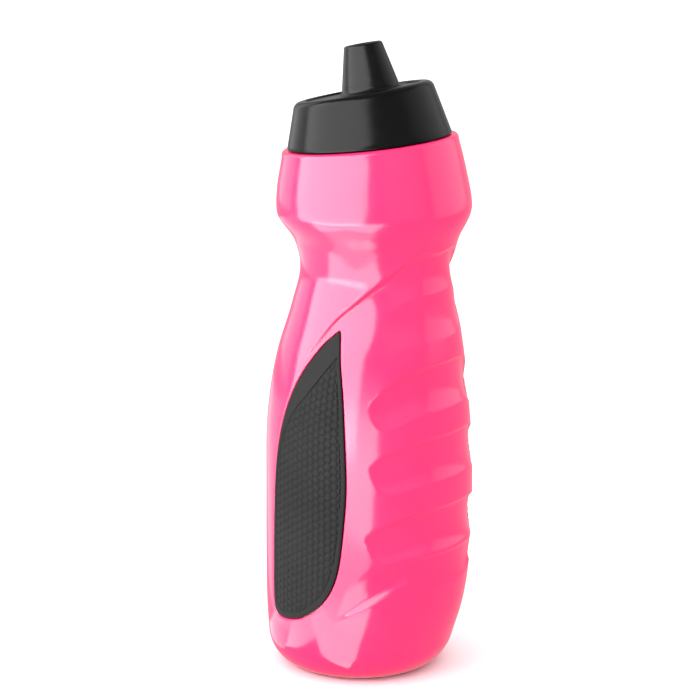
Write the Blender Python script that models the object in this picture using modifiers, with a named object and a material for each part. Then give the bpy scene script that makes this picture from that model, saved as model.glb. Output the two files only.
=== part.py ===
"""A sports squeeze bottle with two inlaid side grips, an angled neck and a screw-on nozzle lid.

Frame: the base stands on z = 0 and the belly is centred on the Z axis. +X is the side with the
finger grooves, -X is the smooth palm side that the neck leans towards, and -Y and +Y are the two
sides that carry the grips. The bottle is symmetric about the plane y = 0. Lengths are in metres
and named angles in degrees.
"""

import math

import bmesh
import bpy
import numpy as np
from mathutils import Matrix, Vector

GAP = 0.0003  # clearance kept between pieces that touch

# --- bottle body -----------------------------------------------------------------------------
# height, section radius, and how far the section's centre sits towards the finger grooves
HEEL = (0.0115, 0.0342, -0.0036)
HAUNCH = (0.0220, 0.0360, -0.0020)
HIP = (0.0460, 0.0377, -0.0001)
BELLY = (0.0730, 0.0378, 0.0002)
RIBS = (0.0950, 0.0370, -0.0001)
CHEST = (0.1190, 0.0339, 0.0008)
NAPE = (0.1371, 0.0299, 0.0025)
WAIST = (0.1512, 0.0276, 0.0034)
UNDERCUT = (0.1611, 0.0296, 0.0032)
BULGE = (0.1726, 0.0352, 0.0023)
SHOULDER = (0.1830, 0.0341, 0.0011)
LIP = (0.1941, 0.0319, 0.0004)
STATIONS = (HEEL, HAUNCH, HIP, BELLY, RIBS, CHEST, NAPE, WAIST, UNDERCUT, BULGE, SHOULDER, LIP)
LEAN_START = 0.1595  # the sections start to tip here
LEAN_END = 0.1915  # and are square to the lid's axis from here up
LID_LEAN = 7.7

BASE_RADIUS = 0.0227
BASE_OFFSET = -0.0044
HEEL_EXPONENT = 2.1  # squareness of the heel's curve
HEEL_TAPER = (HAUNCH[1] - HEEL[1]) / (HAUNCH[0] - HEEL[0])
FOOT_INNER_RADIUS = 0.0150  # the flat ring that the bottle stands on ends here
PUSH_UP = 0.0030  # height of the hollow under the base
WALL = 0.0013

# finger grooves: height of the sharp upper edge, depth, height of the groove, the angle from +X
# where it ends, and how far its edge sinks by then
GROOVES = (
    (0.1453, 0.0010, 0.0165, 50.0, 0.0045),
    (0.1203, 0.0018, 0.0165, 52.0, 0.0129),
    (0.0943, 0.0014, 0.0165, 52.0, 0.0090),
    (0.0679, 0.0019, 0.0165, 54.0, 0.0086),
    (0.0506, 0.0010, 0.0130, 32.0, 0.0010),
)
GROOVE_LIP = 0.0012  # height of the steep wall under the upper edge
GROOVE_BLUNTNESS = 10.0  # how suddenly a groove closes at its end
GROOVE_FALL = 2.4  # how late its lower half comes back out to the surface

# the crease that sets the waist off from the grip zone, as (angle from +X, height)
CREASE = (
    (0.0, 0.1603),
    (24.0, 0.1600),
    (45.0, 0.1529),
    (67.0, 0.1442),
    (82.0, 0.1365),
    (97.5, 0.1230),
)
CREASE_DEPTH = 0.0014
CREASE_UPPER = 0.0020  # the body steps in over this height
CREASE_LOWER = 0.0240  # and is back out this far below the crease
CREASE_FADE = (85.5, 101.5)  # the angles over which it dies out

# the ledge that rises from under the grip, as (angle from +X, height)
LEDGE = ((22.0, 0.0418), (34.0, 0.0392), (50.0, 0.0332), (70.0, 0.0250))
LEDGE_STEP = 0.0011
LEDGE_WIDTH = 0.0024
LEDGE_RUN = 0.0130  # the body comes back out over this height above the ledge
LEDGE_FADE = 14.0  # the angle over which each of its ends dies out

# --- side grips ------------------------------------------------------------------------------
# outline as (angle from +X in degrees, height): tip, palm edge down, foot, groove edge up
GRIP_OUTLINE = (
    (77.4, 0.1327),
    (89.4, 0.1254),
    (103.0, 0.1098),
    (112.4, 0.0910),
    (117.8, 0.0707),
    (119.1, 0.0464),
    (118.9, 0.0281),
    (114.7, 0.0233),
    (103.8, 0.0231),
    (90.9, 0.0257),
    (78.6, 0.0323),
    (70.9, 0.0425),
    (67.3, 0.0589),
    (65.3, 0.0812),
    (68.0, 0.1085),
    (75.3, 0.1304),
)
GRIP_CENTRE = (90.0, 0.0690)
GRIP_THICKNESS = 0.0016
GRIP_WALL = 0.0011  # body wall left behind the grip's pocket
POCKET_ANGLES = (63.0, 121.0)
POCKET_HEIGHTS = (0.0190, 0.1350)
POCKET_BLEND = (8.0, 0.006)  # angle and height over which the wall steps in behind the pocket

# --- lid frame: heights from here on are measured from the lid's lower edge, along its axis -----
LID_X = 0.0001
LID_Z = 0.1963
SHOULDER_FACE = -0.0004
SHOULDER_ROUND = 0.0014
NECK_RADIUS = 0.0210
NECK_BORE = 0.0193
NECK_TOP = 0.0105

THREAD_PITCH = 0.0055
THREAD_BEAD = 0.0010
THREAD_BITE = 0.0009  # how far a thread's thin ends sink into the wall that carries it
THREAD_TIP = 0.4  # share of the bead's radius left at its ends
THREAD_RUN_IN = 3.0  # steps over which it thickens
NECK_THREAD_RADIUS = 0.0209
NECK_THREAD_START = 0.0026
NECK_THREAD_TURNS = 1.15
LID_THREAD_RADIUS = 0.0225
LID_THREAD_DROP = 0.00175  # the lid's thread hangs this far under the neck's
LID_THREAD_FROM = 0.25  # in turns, along the neck's helix
LID_THREAD_TURNS = 1.05

LID_RADIUS = 0.0296
LID_TOP_RADIUS = 0.0254
LID_HEIGHT = 0.0179
LID_WALL = 0.0017
LID_FOOT_EDGE = 0.0003
PLATE_BOTTOM = 0.0123
COLLAR_WALL_INNER = 0.0224
COLLAR_WALL_OUTER = 0.0241
COLLAR_WALL_FOOT = 0.0008
COLLAR_WALL_ROOT = 0.0095

GASKET_INNER = 0.0190
GASKET_OUTER = 0.0219

# --- lid top: a tilted plane through the rim, with heights measured up from it --------------------
TOP_TILT = 5.0
TOP_X = -0.0008  # the rim is off-centre, because the tilted plane cuts a cone
LID_EDGE = 0.0030
LID_EDGE_CURVE = ((0.62, 0.09), (0.27, 0.32), (0.05, 0.62))  # shares of the edge, inward and down
RIM_EDGE = 0.0005
DISH_RADIUS = 0.0209
DISH_DEPTH = 0.0019
SPOUT_HOLE = 0.0082

# --- spout: square to the lid's top, with heights measured up from its flange's underside ---------
SPOUT_X = 0.0038
SPOUT_FLANGE = 0.0206
SPOUT_FLANGE_TOP = 0.0010
SPOUT_TOP = 0.0183
SPOUT_ROOT_RADIUS = 0.0101
SPOUT_TOP_RADIUS = 0.0068
SPOUT_FILLET = 0.0026
SPOUT_FILLET_STEPS = 4
SPOUT_EDGE = 0.0012
SPOUT_COLLAR = 0.0079
SPOUT_COLLAR_END = -0.0071
SPOUT_COLLAR_TAPER = 0.0006
SPOUT_BEAD = 0.0087
SPOUT_BEAD_TOP = -0.0055
SPOUT_BEAD_HEIGHT = 0.0008
SPOUT_BORE = 0.0052
SPOUT_MOUTH = 0.0043
SPOUT_SEAT = 0.0157

VALVE_RADIUS = 0.0049
VALVE_THICKNESS = 0.0012
VALVE_DISH = 0.0005
VALVE_RIM = 0.0010
SLIT_WIDTH = 0.0003
SLIT_LENGTH = 0.0058
SLIT_TURNS = (("a", 45.0), ("b", 135.0))
RETAINER_HEIGHT = 0.0030
RETAINER_BORE = 0.0039

# --- mesh fineness -------------------------------------------------------------------------------
BODY_SIDES = 44
BODY_ROW = 0.0042
BODY_NECK_START = NAPE[0] + 0.0030
BODY_NECK_ROWS = 18
HEEL_ROWS = (0.07, 0.22, 0.45, 0.72)  # shares of the heel's height
CAVITY_SIDES = 30
CAVITY_ROW = 0.0060
CAVITY_START = HEEL[0] + 0.0065
CAVITY_NECK_START = WAIST[0] + 0.0025
CAVITY_NECK_END = LIP[0] - 0.0080
CAVITY_NECK_ROWS = 6
CAVITY_ROOF_RADIUS = NECK_BORE + 0.0077
TURNED_SIDES = 40
GRIP_SIDES = 34
GRIP_RINGS = (1.0, 0.66, 0.33)  # shares of the outline
CURVE_STEPS = 12
SHARP_ANGLE = 35.0
MERGE = 0.00001
TURNED_MERGE = 0.00005
THREAD_STEPS = 24  # per turn

PARTS = "sports_squeeze_bottle"
CUTTERS = "cutters"


def clear_scene():
    for thing in list(bpy.data.objects):
        bpy.data.objects.remove(thing, do_unlink=True)


def new_collection(name):
    collection = bpy.data.collections.new(name)
    bpy.context.scene.collection.children.link(collection)
    return collection


def material(name, colour, roughness, specular=0.5):
    made = bpy.data.materials.new(name)
    made.use_nodes = True
    shader = made.node_tree.nodes["Principled BSDF"]
    shader.inputs["Base Color"].default_value = (*colour, 1.0)
    shader.inputs["Roughness"].default_value = roughness
    shader.inputs["Metallic"].default_value = 0.0
    shader.inputs["Specular IOR Level"].default_value = specular
    return made


def smoothstep(low, high, value):
    t = np.clip((value - low) / (high - low), 0.0, 1.0)
    return t * t * (3.0 - 2.0 * t)


def smooth_curve(points, at, column=1):
    """A smooth curve through one column of points, level wherever the column turns back."""
    x = np.array([point[0] for point in points])
    y = np.array([point[column] for point in points])
    width = np.diff(x)
    slope = np.diff(y) / width
    tangent = np.empty_like(y)
    tangent[1:-1] = (slope[:-1] * width[1:] + slope[1:] * width[:-1]) / (width[:-1] + width[1:])
    tangent[1:-1][slope[:-1] * slope[1:] <= 0] = 0.0
    tangent[0] = slope[0]
    tangent[-1] = slope[-1]
    i = int(np.clip(np.searchsorted(x, at) - 1, 0, len(x) - 2))
    t = (at - x[i]) / width[i]
    start = (1.0 + 2.0 * t) * (1.0 - t) ** 2 * y[i] + t * (1.0 - t) ** 2 * width[i] * tangent[i]
    end = t * t * (3.0 - 2.0 * t) * y[i + 1] + t * t * (t - 1.0) * width[i] * tangent[i + 1]
    return start + end


def section_radius(height):
    if height >= HEEL[0]:
        return smooth_curve(STATIONS, height, 1)
    tapered = HEEL[1] - HEEL_TAPER * (HEEL[0] - height)
    deepest = HEEL[1] - HEEL_TAPER * HEEL[0] - BASE_RADIUS
    fullness = (1.0 - (1.0 - height / HEEL[0]) ** HEEL_EXPONENT) ** (1.0 / HEEL_EXPONENT)
    return tapered - deepest * (1.0 - fullness)


def section_offset(height):
    if height >= HEEL[0]:
        return smooth_curve(STATIONS, height, 2)
    return BASE_OFFSET + (HEEL[2] - BASE_OFFSET) * height / HEEL[0]


def groove_depth(angle, height):
    """Scoops with a sharp upper edge, deepest half way down, that narrow to a round end."""
    depth = 0.0
    for top, deepest, tall, reach, droop in GROOVES:
        along = min(angle / reach, 1.0)
        narrowing = 1.0 - along**GROOVE_BLUNTNESS
        below = top - droop * along**3 - height
        if narrowing <= 0.0 or not 0.0 < below < tall * narrowing:
            continue
        middle = 2.0 * below / (tall * narrowing) - 1.0
        scoop = 1.0 - 0.5 * middle**2 if middle < 0.0 else 1.0 - middle**GROOVE_FALL
        steep = smoothstep(0.0, GROOVE_LIP, below)
        depth = max(depth, deepest * narrowing * scoop * steep)
    return depth


def crease_depth(angle, height):
    below = smooth_curve(CREASE, min(angle, CREASE[-1][0])) - height
    steep = smoothstep(0.0, CREASE_UPPER, below)
    gentle = 1.0 - smoothstep(CREASE_UPPER, CREASE_LOWER, below)
    fade = 1.0 - smoothstep(*CREASE_FADE, angle)
    return CREASE_DEPTH * steep * gentle * fade


def ledge_depth(angle, height):
    first, last = LEDGE[0][0], LEDGE[-1][0]
    above = height - smooth_curve(LEDGE, min(max(angle, first), last))
    step = smoothstep(0.0, LEDGE_WIDTH, above)
    gentle = 1.0 - smoothstep(LEDGE_WIDTH, LEDGE_WIDTH + LEDGE_RUN, above)
    fade = smoothstep(first, first + LEDGE_FADE, angle)
    fade *= 1.0 - smoothstep(last - LEDGE_FADE, last, angle)
    return LEDGE_STEP * step * gentle * fade


def relief(angle, height):
    """How far the outer surface is pressed in by the grooves, the crease and the ledge."""
    angle = abs(angle)
    pressed = groove_depth(angle, height)
    pressed = max(pressed, crease_depth(angle, height))
    return max(pressed, ledge_depth(angle, height))


def lean_at(height):
    return math.radians(LID_LEAN) * float(smoothstep(LEAN_START, LEAN_END, height))


def body_point(angle, height, inward=0.0):
    """A point on the outer surface, or inward of it. Angles run from +X towards -Y, in degrees."""
    turn = math.radians(angle)
    radius = section_radius(height) - relief(angle, height) - inward
    lean = lean_at(height)
    reach = radius * math.cos(turn)
    x = section_offset(height) + reach * math.cos(lean)
    z = height + reach * math.sin(lean)
    return Vector((x, -radius * math.sin(turn), z))


def leaned(place, degrees):
    """A frame at a place whose axis leans this far towards the palm side."""
    return Matrix.Translation(place) @ Matrix.Rotation(-math.radians(degrees), 4, "Y")


def lid_matrix():
    return leaned((LID_X, 0.0, LID_Z), LID_LEAN)


def top_matrix():
    """The lid's rim plane, in the lid frame."""
    return leaned((TOP_X, 0.0, LID_HEIGHT), TOP_TILT)


def spout_matrix():
    """The spout's axis in the lid frame, from the underside of its flange."""
    return top_matrix() @ Matrix.Translation((SPOUT_X, 0.0, GAP - DISH_DEPTH))


def level_ring(radius, height, sides, frame=None, offset=0.0):
    """A circle about a vertical axis, or about the axis of a frame that it is given."""
    ring = []
    for i in range(sides):
        turn = 2.0 * math.pi * i / sides
        point = Vector((offset + radius * math.cos(turn), -radius * math.sin(turn), height))
        ring.append(frame @ point if frame else point)
    return ring


def mesh_object(name, bm, collection, finish=None, parent=None):
    bmesh.ops.recalc_face_normals(bm, faces=bm.faces)
    mesh = bpy.data.meshes.new(name)
    bm.to_mesh(mesh)
    bm.free()
    made = bpy.data.objects.new(name, mesh)
    collection.objects.link(made)
    if finish:
        mesh.materials.append(finish)
        mesh.shade_smooth()
        mesh.set_sharp_from_angle(angle=math.radians(SHARP_ANGLE))
    else:
        made.hide_render = True
        made.display_type = "WIRE"
    made.parent = parent
    return made


def loft(rings):
    """A closed skin over rings that have the same number of points, with a flat cap on each end."""
    bm = bmesh.new()
    loops = [[bm.verts.new(point) for point in ring] for ring in rings]
    sides = len(loops[0])
    for low, high in zip(loops, loops[1:]):
        for i in range(sides):
            j = (i + 1) % sides
            bm.faces.new((low[i], low[j], high[j], high[i]))
    bm.faces.new(loops[0])
    bm.faces.new(loops[-1])
    return bm


def turned(name, profile, collection, finish=None, parent=None, closed=False):
    """A profile of (radius, height) turned about Z. It runs down its outer side."""
    bm = bmesh.new()
    verts = [bm.verts.new((radius, 0.0, height)) for radius, height in profile]
    for a, b in zip(verts, verts[1:]):
        bm.edges.new((a, b))
    if closed:
        bm.edges.new((verts[-1], verts[0]))
    mesh = bpy.data.meshes.new(name)
    bm.to_mesh(mesh)
    bm.free()
    made = bpy.data.objects.new(name, mesh)
    collection.objects.link(made)
    screw = made.modifiers.new("turn", "SCREW")
    screw.steps = TURNED_SIDES
    screw.render_steps = TURNED_SIDES
    screw.use_merge_vertices = True
    screw.merge_threshold = TURNED_MERGE
    screw.use_smooth_shade = True
    if finish:
        mesh.materials.append(finish)
    else:
        made.hide_render = True
        made.display_type = "WIRE"
    made.parent = parent
    return made


def boolean(target, operation, tool):
    modifier = target.modifiers.new(f"{operation.lower()}_{tool.name}", "BOOLEAN")
    modifier.operation = operation
    modifier.solver = "EXACT"
    modifier.object = tool


def thread(name, radius, first_turn, turns, drop, inset, collection, parent):
    """A helical bead, drop below the neck's helix. Its ends thin out and sink by inset into a wall."""
    steps = int(round(turns * THREAD_STEPS))
    data = bpy.data.curves.new(name, "CURVE")
    data.dimensions = "3D"
    data.bevel_depth = THREAD_BEAD
    data.bevel_resolution = 2
    data.use_fill_caps = True
    spline = data.splines.new("POLY")
    spline.points.add(steps)
    for i, point in enumerate(spline.points):
        turns_up = first_turn + i / THREAD_STEPS
        turn = 2.0 * math.pi * turns_up
        fullness = min(1.0, min(i, steps - i) / THREAD_RUN_IN)
        reach = radius + inset * (1.0 - fullness)
        height = NECK_THREAD_START + THREAD_PITCH * turns_up - drop
        point.co = (reach * math.cos(turn), reach * math.sin(turn), height, 1.0)
        point.radius = THREAD_TIP + (1.0 - THREAD_TIP) * fullness
    curve = bpy.data.objects.new(name + "_path", data)
    collection.objects.link(curve)
    curve.parent = parent
    bpy.context.view_layer.update()
    evaluated = curve.evaluated_get(bpy.context.evaluated_depsgraph_get())
    mesh = bpy.data.meshes.new_from_object(evaluated)
    bm = bmesh.new()
    bm.from_mesh(mesh)
    bmesh.ops.remove_doubles(bm, verts=bm.verts, dist=MERGE)
    bpy.data.meshes.remove(mesh)
    bpy.data.objects.remove(curve, do_unlink=True)
    return mesh_object(name, bm, collection, parent=parent)


def closed_curve(points, count):
    """Evenly spaced points on a smooth closed curve through the given points, sharp at the first."""
    dense = []
    total = len(points)
    for i in range(total):
        a, b = Vector(points[i]), Vector(points[(i + 1) % total])
        before = Vector(points[i - 1]) if i > 0 else a
        after = Vector(points[(i + 2) % total]) if i < total - 1 else b
        for k in range(CURVE_STEPS):
            t = k / CURVE_STEPS
            cubic = (2.0 * a) + (b - before) * t
            cubic += (2.0 * before - 5.0 * a + 4.0 * b - after) * t * t
            cubic += (3.0 * a - before - 3.0 * b + after) * t**3
            dense.append(cubic * 0.5)
    dense.append(dense[0].copy())
    lengths = np.cumsum([0.0] + [(q - p).length for p, q in zip(dense, dense[1:])])
    wanted = np.linspace(0.0, lengths[-1], count, endpoint=False)
    spread = [np.interp(wanted, lengths, [point[axis] for point in dense]) for axis in (0, 1)]
    return [Vector(pair) for pair in zip(*spread)]


def grip_outline(grow):
    """The grip's outline in (arc length, height), moved outward by grow."""
    scale = math.radians(1.0) * BELLY[1]
    flat = closed_curve([(angle * scale, height) for angle, height in GRIP_OUTLINE], GRIP_SIDES)
    moved = []
    for i, point in enumerate(flat):
        ahead = flat[(i + 1) % len(flat)]
        tangent = (ahead - flat[i - 1]).normalized()
        moved.append(point + Vector((-tangent.y, tangent.x)) * grow)
    return [(point.x / scale, point.y) for point in moved]


def grip_shell(side, grow, outer, inner):
    """A curved slab that follows the body's surface between two depths inside the grip's outline."""
    bm = bmesh.new()
    outline = grip_outline(grow)
    centre_angle, centre_height = GRIP_CENTRE
    layers = []
    for depth in (outer, inner):
        rings = []
        for share in GRIP_RINGS:
            ring = []
            for angle, height in outline:
                a = centre_angle + (angle - centre_angle) * share
                h = centre_height + (height - centre_height) * share
                point = body_point(a, h, depth)
                ring.append(bm.verts.new((point.x, side * point.y, point.z)))
            rings.append(ring)
        middle = body_point(centre_angle, centre_height, depth)
        layers.append((rings, bm.verts.new((middle.x, side * middle.y, middle.z))))
    sides = len(outline)
    for rings, middle in layers:
        for i in range(sides):
            j = (i + 1) % sides
            for edge, inside in zip(rings, rings[1:]):
                bm.faces.new((edge[i], edge[j], inside[i]))
                bm.faces.new((edge[j], inside[j], inside[i]))
            bm.faces.new((rings[-1][i], rings[-1][j], middle))
    top, bottom = layers[0][0][0], layers[1][0][0]
    for i in range(sides):
        j = (i + 1) % sides
        bm.faces.new((top[i], top[j], bottom[j], bottom[i]))
    return bm


def body_heights():
    """Section heights, closest together where the outline turns quickly."""
    heel = [HEEL[0] * share for share in HEEL_ROWS]
    barrel = list(np.arange(HEEL[0], NAPE[0], BODY_ROW))
    neckward = list(np.linspace(BODY_NECK_START, LIP[0], BODY_NECK_ROWS))
    return heel + barrel + neckward


def outer_body():
    foot = (
        (FOOT_INNER_RADIUS * 0.4, PUSH_UP),
        (FOOT_INNER_RADIUS * 0.77, PUSH_UP * 0.75),
        (FOOT_INNER_RADIUS, 0.0),
        (BASE_RADIUS, 0.0),
    )
    rings = [level_ring(radius, height, BODY_SIDES, None, BASE_OFFSET) for radius, height in foot]
    for height in body_heights():
        turns = [360.0 * i / BODY_SIDES for i in range(BODY_SIDES)]
        rings.append([body_point((turn + 180.0) % 360.0 - 180.0, height) for turn in turns])
    frame = lid_matrix()
    shoulder_edge = (
        (LIP[1] - SHOULDER_ROUND * 0.3, SHOULDER_FACE - SHOULDER_ROUND * 0.6),
        (LIP[1] - SHOULDER_ROUND, SHOULDER_FACE),
        (NECK_RADIUS, SHOULDER_FACE),
        (NECK_RADIUS, NECK_TOP),
    )
    rings += [level_ring(radius, height, BODY_SIDES, frame) for radius, height in shoulder_edge]
    return loft(rings)


def pocket_share(angle, height):
    """1 behind the grip's pocket, falling to 0 a little way outside it."""
    turn, rise = POCKET_BLEND
    first, last = POCKET_ANGLES
    foot, tip = POCKET_HEIGHTS
    across = smoothstep(first - turn, first, abs(angle)) * (1.0 - smoothstep(last, last + turn, abs(angle)))
    along = smoothstep(foot - rise, foot, height) * (1.0 - smoothstep(tip, tip + rise, height))
    return across * along


def cavity():
    """The space inside the bottle, from its floor out through the mouth."""
    pocket = GRIP_THICKNESS + GAP + GRIP_WALL - WALL
    turns = [(360.0 * i / CAVITY_SIDES + 180.0) % 360.0 - 180.0 for i in range(CAVITY_SIDES)]
    floor = (
        (FOOT_INNER_RADIUS * 0.4, PUSH_UP + WALL),
        (FOOT_INNER_RADIUS * 0.87, PUSH_UP * 0.7 + WALL),
        (BASE_RADIUS - 2.0 * WALL, WALL * 1.5),
    )
    rings = [level_ring(radius, height, CAVITY_SIDES, None, BASE_OFFSET) for radius, height in floor]
    heights = [HEEL[0] * 0.5, HEEL[0]]
    heights += list(np.arange(CAVITY_START, WAIST[0], CAVITY_ROW))
    heights += list(np.linspace(CAVITY_NECK_START, CAVITY_NECK_END, CAVITY_NECK_ROWS))
    for height in heights:
        ring = [body_point(turn, height, WALL + pocket * pocket_share(turn, height)) for turn in turns]
        rings.append(ring)
    frame = lid_matrix()
    roof = (
        (LIP[1] - 1.5 * WALL, SHOULDER_FACE - 3.0 * WALL),
        (CAVITY_ROOF_RADIUS, SHOULDER_FACE - 1.3 * WALL),
        (NECK_BORE, SHOULDER_FACE - WALL),
        (NECK_BORE, NECK_TOP + WALL),
    )
    rings += [level_ring(radius, height, CAVITY_SIDES, frame) for radius, height in roof]
    return loft(rings)


def make_body(parts, cutters, lid_axis, finish):
    body = mesh_object("bottle_body", outer_body(), parts, finish)
    inset = NECK_BORE - NECK_THREAD_RADIUS + THREAD_BITE
    bead = thread("neck_thread", NECK_THREAD_RADIUS, 0.0, NECK_THREAD_TURNS, 0.0, inset, cutters, lid_axis)
    boolean(body, "UNION", bead)
    for side, label in ((1.0, "left"), (-1.0, "right")):
        depth = GRIP_THICKNESS + GAP
        above = -2.0 * GRIP_THICKNESS
        pocket = mesh_object(f"pocket_{label}", grip_shell(side, GAP, above, depth), cutters)
        boolean(body, "DIFFERENCE", pocket)
    boolean(body, "DIFFERENCE", mesh_object("body_cavity", cavity(), cutters))
    return body


def make_grips(parts, finish):
    for side, label in ((1.0, "left"), (-1.0, "right")):
        mesh_object(f"grip_pad_{label}", grip_shell(side, 0.0, 0.0, GRIP_THICKNESS), parts, finish)


def make_lid(parts, cutters, lid_axis, spout_axis, finish):
    cone = (LID_RADIUS - LID_TOP_RADIUS) / LID_HEIGHT
    root_radius = LID_RADIUS - LID_WALL - cone * COLLAR_WALL_ROOT
    tilted = (
        (DISH_RADIUS, -DISH_DEPTH),
        (DISH_RADIUS, -RIM_EDGE),
        (DISH_RADIUS + RIM_EDGE, 0.0),
        (LID_TOP_RADIUS - LID_EDGE, 0.0),
        *((LID_TOP_RADIUS - LID_EDGE * inward, -LID_EDGE * down) for inward, down in LID_EDGE_CURVE),
        (LID_TOP_RADIUS + cone * LID_EDGE, -LID_EDGE),
    )
    level = (
        (LID_RADIUS, LID_FOOT_EDGE),
        (LID_RADIUS - LID_FOOT_EDGE, 0.0),
        (LID_RADIUS - LID_WALL, 0.0),
        (root_radius, COLLAR_WALL_ROOT),
        (COLLAR_WALL_OUTER, COLLAR_WALL_ROOT),
        (COLLAR_WALL_OUTER, COLLAR_WALL_FOOT),
        (COLLAR_WALL_INNER, COLLAR_WALL_FOOT),
        (COLLAR_WALL_INNER, PLATE_BOTTOM),
    )
    rings = [level_ring(radius, height, TURNED_SIDES, top_matrix()) for radius, height in tilted]
    rings += [level_ring(radius, height, TURNED_SIDES) for radius, height in level]
    lid = mesh_object("lid_shell", loft(rings), parts, finish, lid_axis)
    inset = COLLAR_WALL_INNER - LID_THREAD_RADIUS + THREAD_BITE
    bead = thread(
        "lid_thread",
        LID_THREAD_RADIUS,
        LID_THREAD_FROM,
        LID_THREAD_TURNS,
        LID_THREAD_DROP,
        inset,
        cutters,
        lid_axis,
    )
    boolean(lid, "UNION", bead)
    hole_profile = (
        (0.0, DISH_DEPTH),
        (SPOUT_HOLE, DISH_DEPTH),
        (SPOUT_HOLE, SPOUT_COLLAR_END),
        (0.0, SPOUT_COLLAR_END),
    )
    boolean(lid, "DIFFERENCE", turned("spout_hole", hole_profile, cutters, parent=spout_axis))
    return lid


def make_gasket(parts, lid_axis, finish):
    top = PLATE_BOTTOM - GAP
    bottom = NECK_TOP + GAP
    profile = (
        (GASKET_INNER, top),
        (GASKET_OUTER, top),
        (GASKET_OUTER, bottom),
        (GASKET_INNER, bottom),
    )
    return turned("lid_gasket", profile, parts, finish, lid_axis, closed=True)


def make_spout(parts, cutters, spout_axis, finish):
    rings = []
    for radius, height, x in (
        (SPOUT_COLLAR - SPOUT_COLLAR_TAPER, SPOUT_COLLAR_END, 0.0),
        (SPOUT_BEAD, SPOUT_BEAD_TOP - SPOUT_BEAD_HEIGHT, 0.0),
        (SPOUT_BEAD, SPOUT_BEAD_TOP, 0.0),
        (SPOUT_COLLAR, SPOUT_BEAD_TOP, 0.0),
        (SPOUT_COLLAR, 0.0, 0.0),
        (SPOUT_FLANGE, 0.0, -SPOUT_X),
        (SPOUT_FLANGE, SPOUT_FLANGE_TOP, -SPOUT_X),
    ):
        rings.append(level_ring(radius, height, TURNED_SIDES, None, x))
    for i in range(SPOUT_FILLET_STEPS):
        turn = 0.5 * math.pi * i / SPOUT_FILLET_STEPS
        radius = SPOUT_ROOT_RADIUS + SPOUT_FILLET * (1.0 - math.sin(turn))
        height = SPOUT_FLANGE_TOP + SPOUT_FILLET * (1.0 - math.cos(turn))
        rings.append(level_ring(radius, height, TURNED_SIDES))
    crown = (
        (SPOUT_ROOT_RADIUS, SPOUT_FLANGE_TOP + SPOUT_FILLET),
        (SPOUT_TOP_RADIUS + SPOUT_EDGE * 0.2, SPOUT_TOP - SPOUT_EDGE),
        (SPOUT_TOP_RADIUS - SPOUT_EDGE * 0.25, SPOUT_TOP - SPOUT_EDGE * 0.25),
        (SPOUT_TOP_RADIUS - SPOUT_EDGE, SPOUT_TOP),
    )
    rings += [level_ring(radius, height, TURNED_SIDES) for radius, height in crown]
    spout = mesh_object("spout", loft(rings), parts, finish, spout_axis)
    above, below = SPOUT_TOP + SPOUT_EDGE, SPOUT_COLLAR_END - SPOUT_EDGE
    bore_profile = (
        (0.0, above),
        (SPOUT_MOUTH, above),
        (SPOUT_MOUTH, SPOUT_SEAT),
        (SPOUT_BORE, SPOUT_SEAT),
        (SPOUT_BORE, below),
        (0.0, below),
    )
    boolean(spout, "DIFFERENCE", turned("spout_bore", bore_profile, cutters, parent=spout_axis))
    return spout


def make_valve(parts, cutters, spout_axis, finish):
    top = SPOUT_SEAT - GAP
    bottom = top - VALVE_THICKNESS
    inner = VALVE_RADIUS - VALVE_RIM
    profile = (
        (0.0, top - VALVE_DISH),
        (inner, top),
        (VALVE_RADIUS, top),
        (VALVE_RADIUS, bottom),
        (inner, bottom),
        (0.0, bottom - VALVE_DISH * 0.4),
    )
    valve = turned("slit_valve", profile, parts, finish, spout_axis)
    for label, turn in SLIT_TURNS:
        bm = bmesh.new()
        bmesh.ops.create_cube(bm, size=1.0)
        size = (SLIT_LENGTH, SLIT_WIDTH, 4.0 * VALVE_THICKNESS)
        bmesh.ops.scale(bm, vec=size, verts=bm.verts)
        slit = mesh_object(f"slit_{label}", bm, cutters, parent=spout_axis)
        slit.location.z = bottom
        slit.rotation_euler.z = math.radians(turn)
        boolean(valve, "DIFFERENCE", slit)
    return valve


def make_retainer(parts, spout_axis, finish):
    top = SPOUT_SEAT - 2.0 * GAP - VALVE_THICKNESS
    bottom = top - RETAINER_HEIGHT
    profile = (
        (RETAINER_BORE, top),
        (VALVE_RADIUS, top),
        (VALVE_RADIUS, bottom),
        (RETAINER_BORE, bottom),
    )
    return turned("valve_retainer", profile, parts, finish, spout_axis, closed=True)


def axis_empty(name, matrix, collection, parent=None):
    empty = bpy.data.objects.new(name, None)
    collection.objects.link(empty)
    empty.parent = parent
    empty.matrix_local = matrix
    return empty


def main():
    clear_scene()
    parts = new_collection(PARTS)
    cutters = new_collection(CUTTERS)
    pink = material("bottle_pink", (0.98, 0.11, 0.29), 0.22)
    grip_black = material("grip_rubber", (0.045, 0.048, 0.045), 0.6)
    lid_black = material("lid_black", (0.012, 0.012, 0.012), 0.3)
    spout_black = material("spout_black", (0.014, 0.014, 0.014), 0.34)
    valve_clear = material("valve_silicone", (0.62, 0.62, 0.62), 0.45)
    gasket_grey = material("gasket_silicone", (0.30, 0.30, 0.31), 0.5)

    lid_axis = axis_empty("lid_axis", lid_matrix(), parts)
    spout_axis = axis_empty("spout_axis", spout_matrix(), parts, lid_axis)
    bpy.context.view_layer.update()

    make_body(parts, cutters, lid_axis, pink)
    make_grips(parts, grip_black)
    make_lid(parts, cutters, lid_axis, spout_axis, lid_black)
    make_spout(parts, cutters, spout_axis, spout_black)
    make_gasket(parts, lid_axis, gasket_grey)
    make_valve(parts, cutters, spout_axis, valve_clear)
    make_retainer(parts, spout_axis, lid_black)
    bpy.context.view_layer.update()


main()
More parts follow.
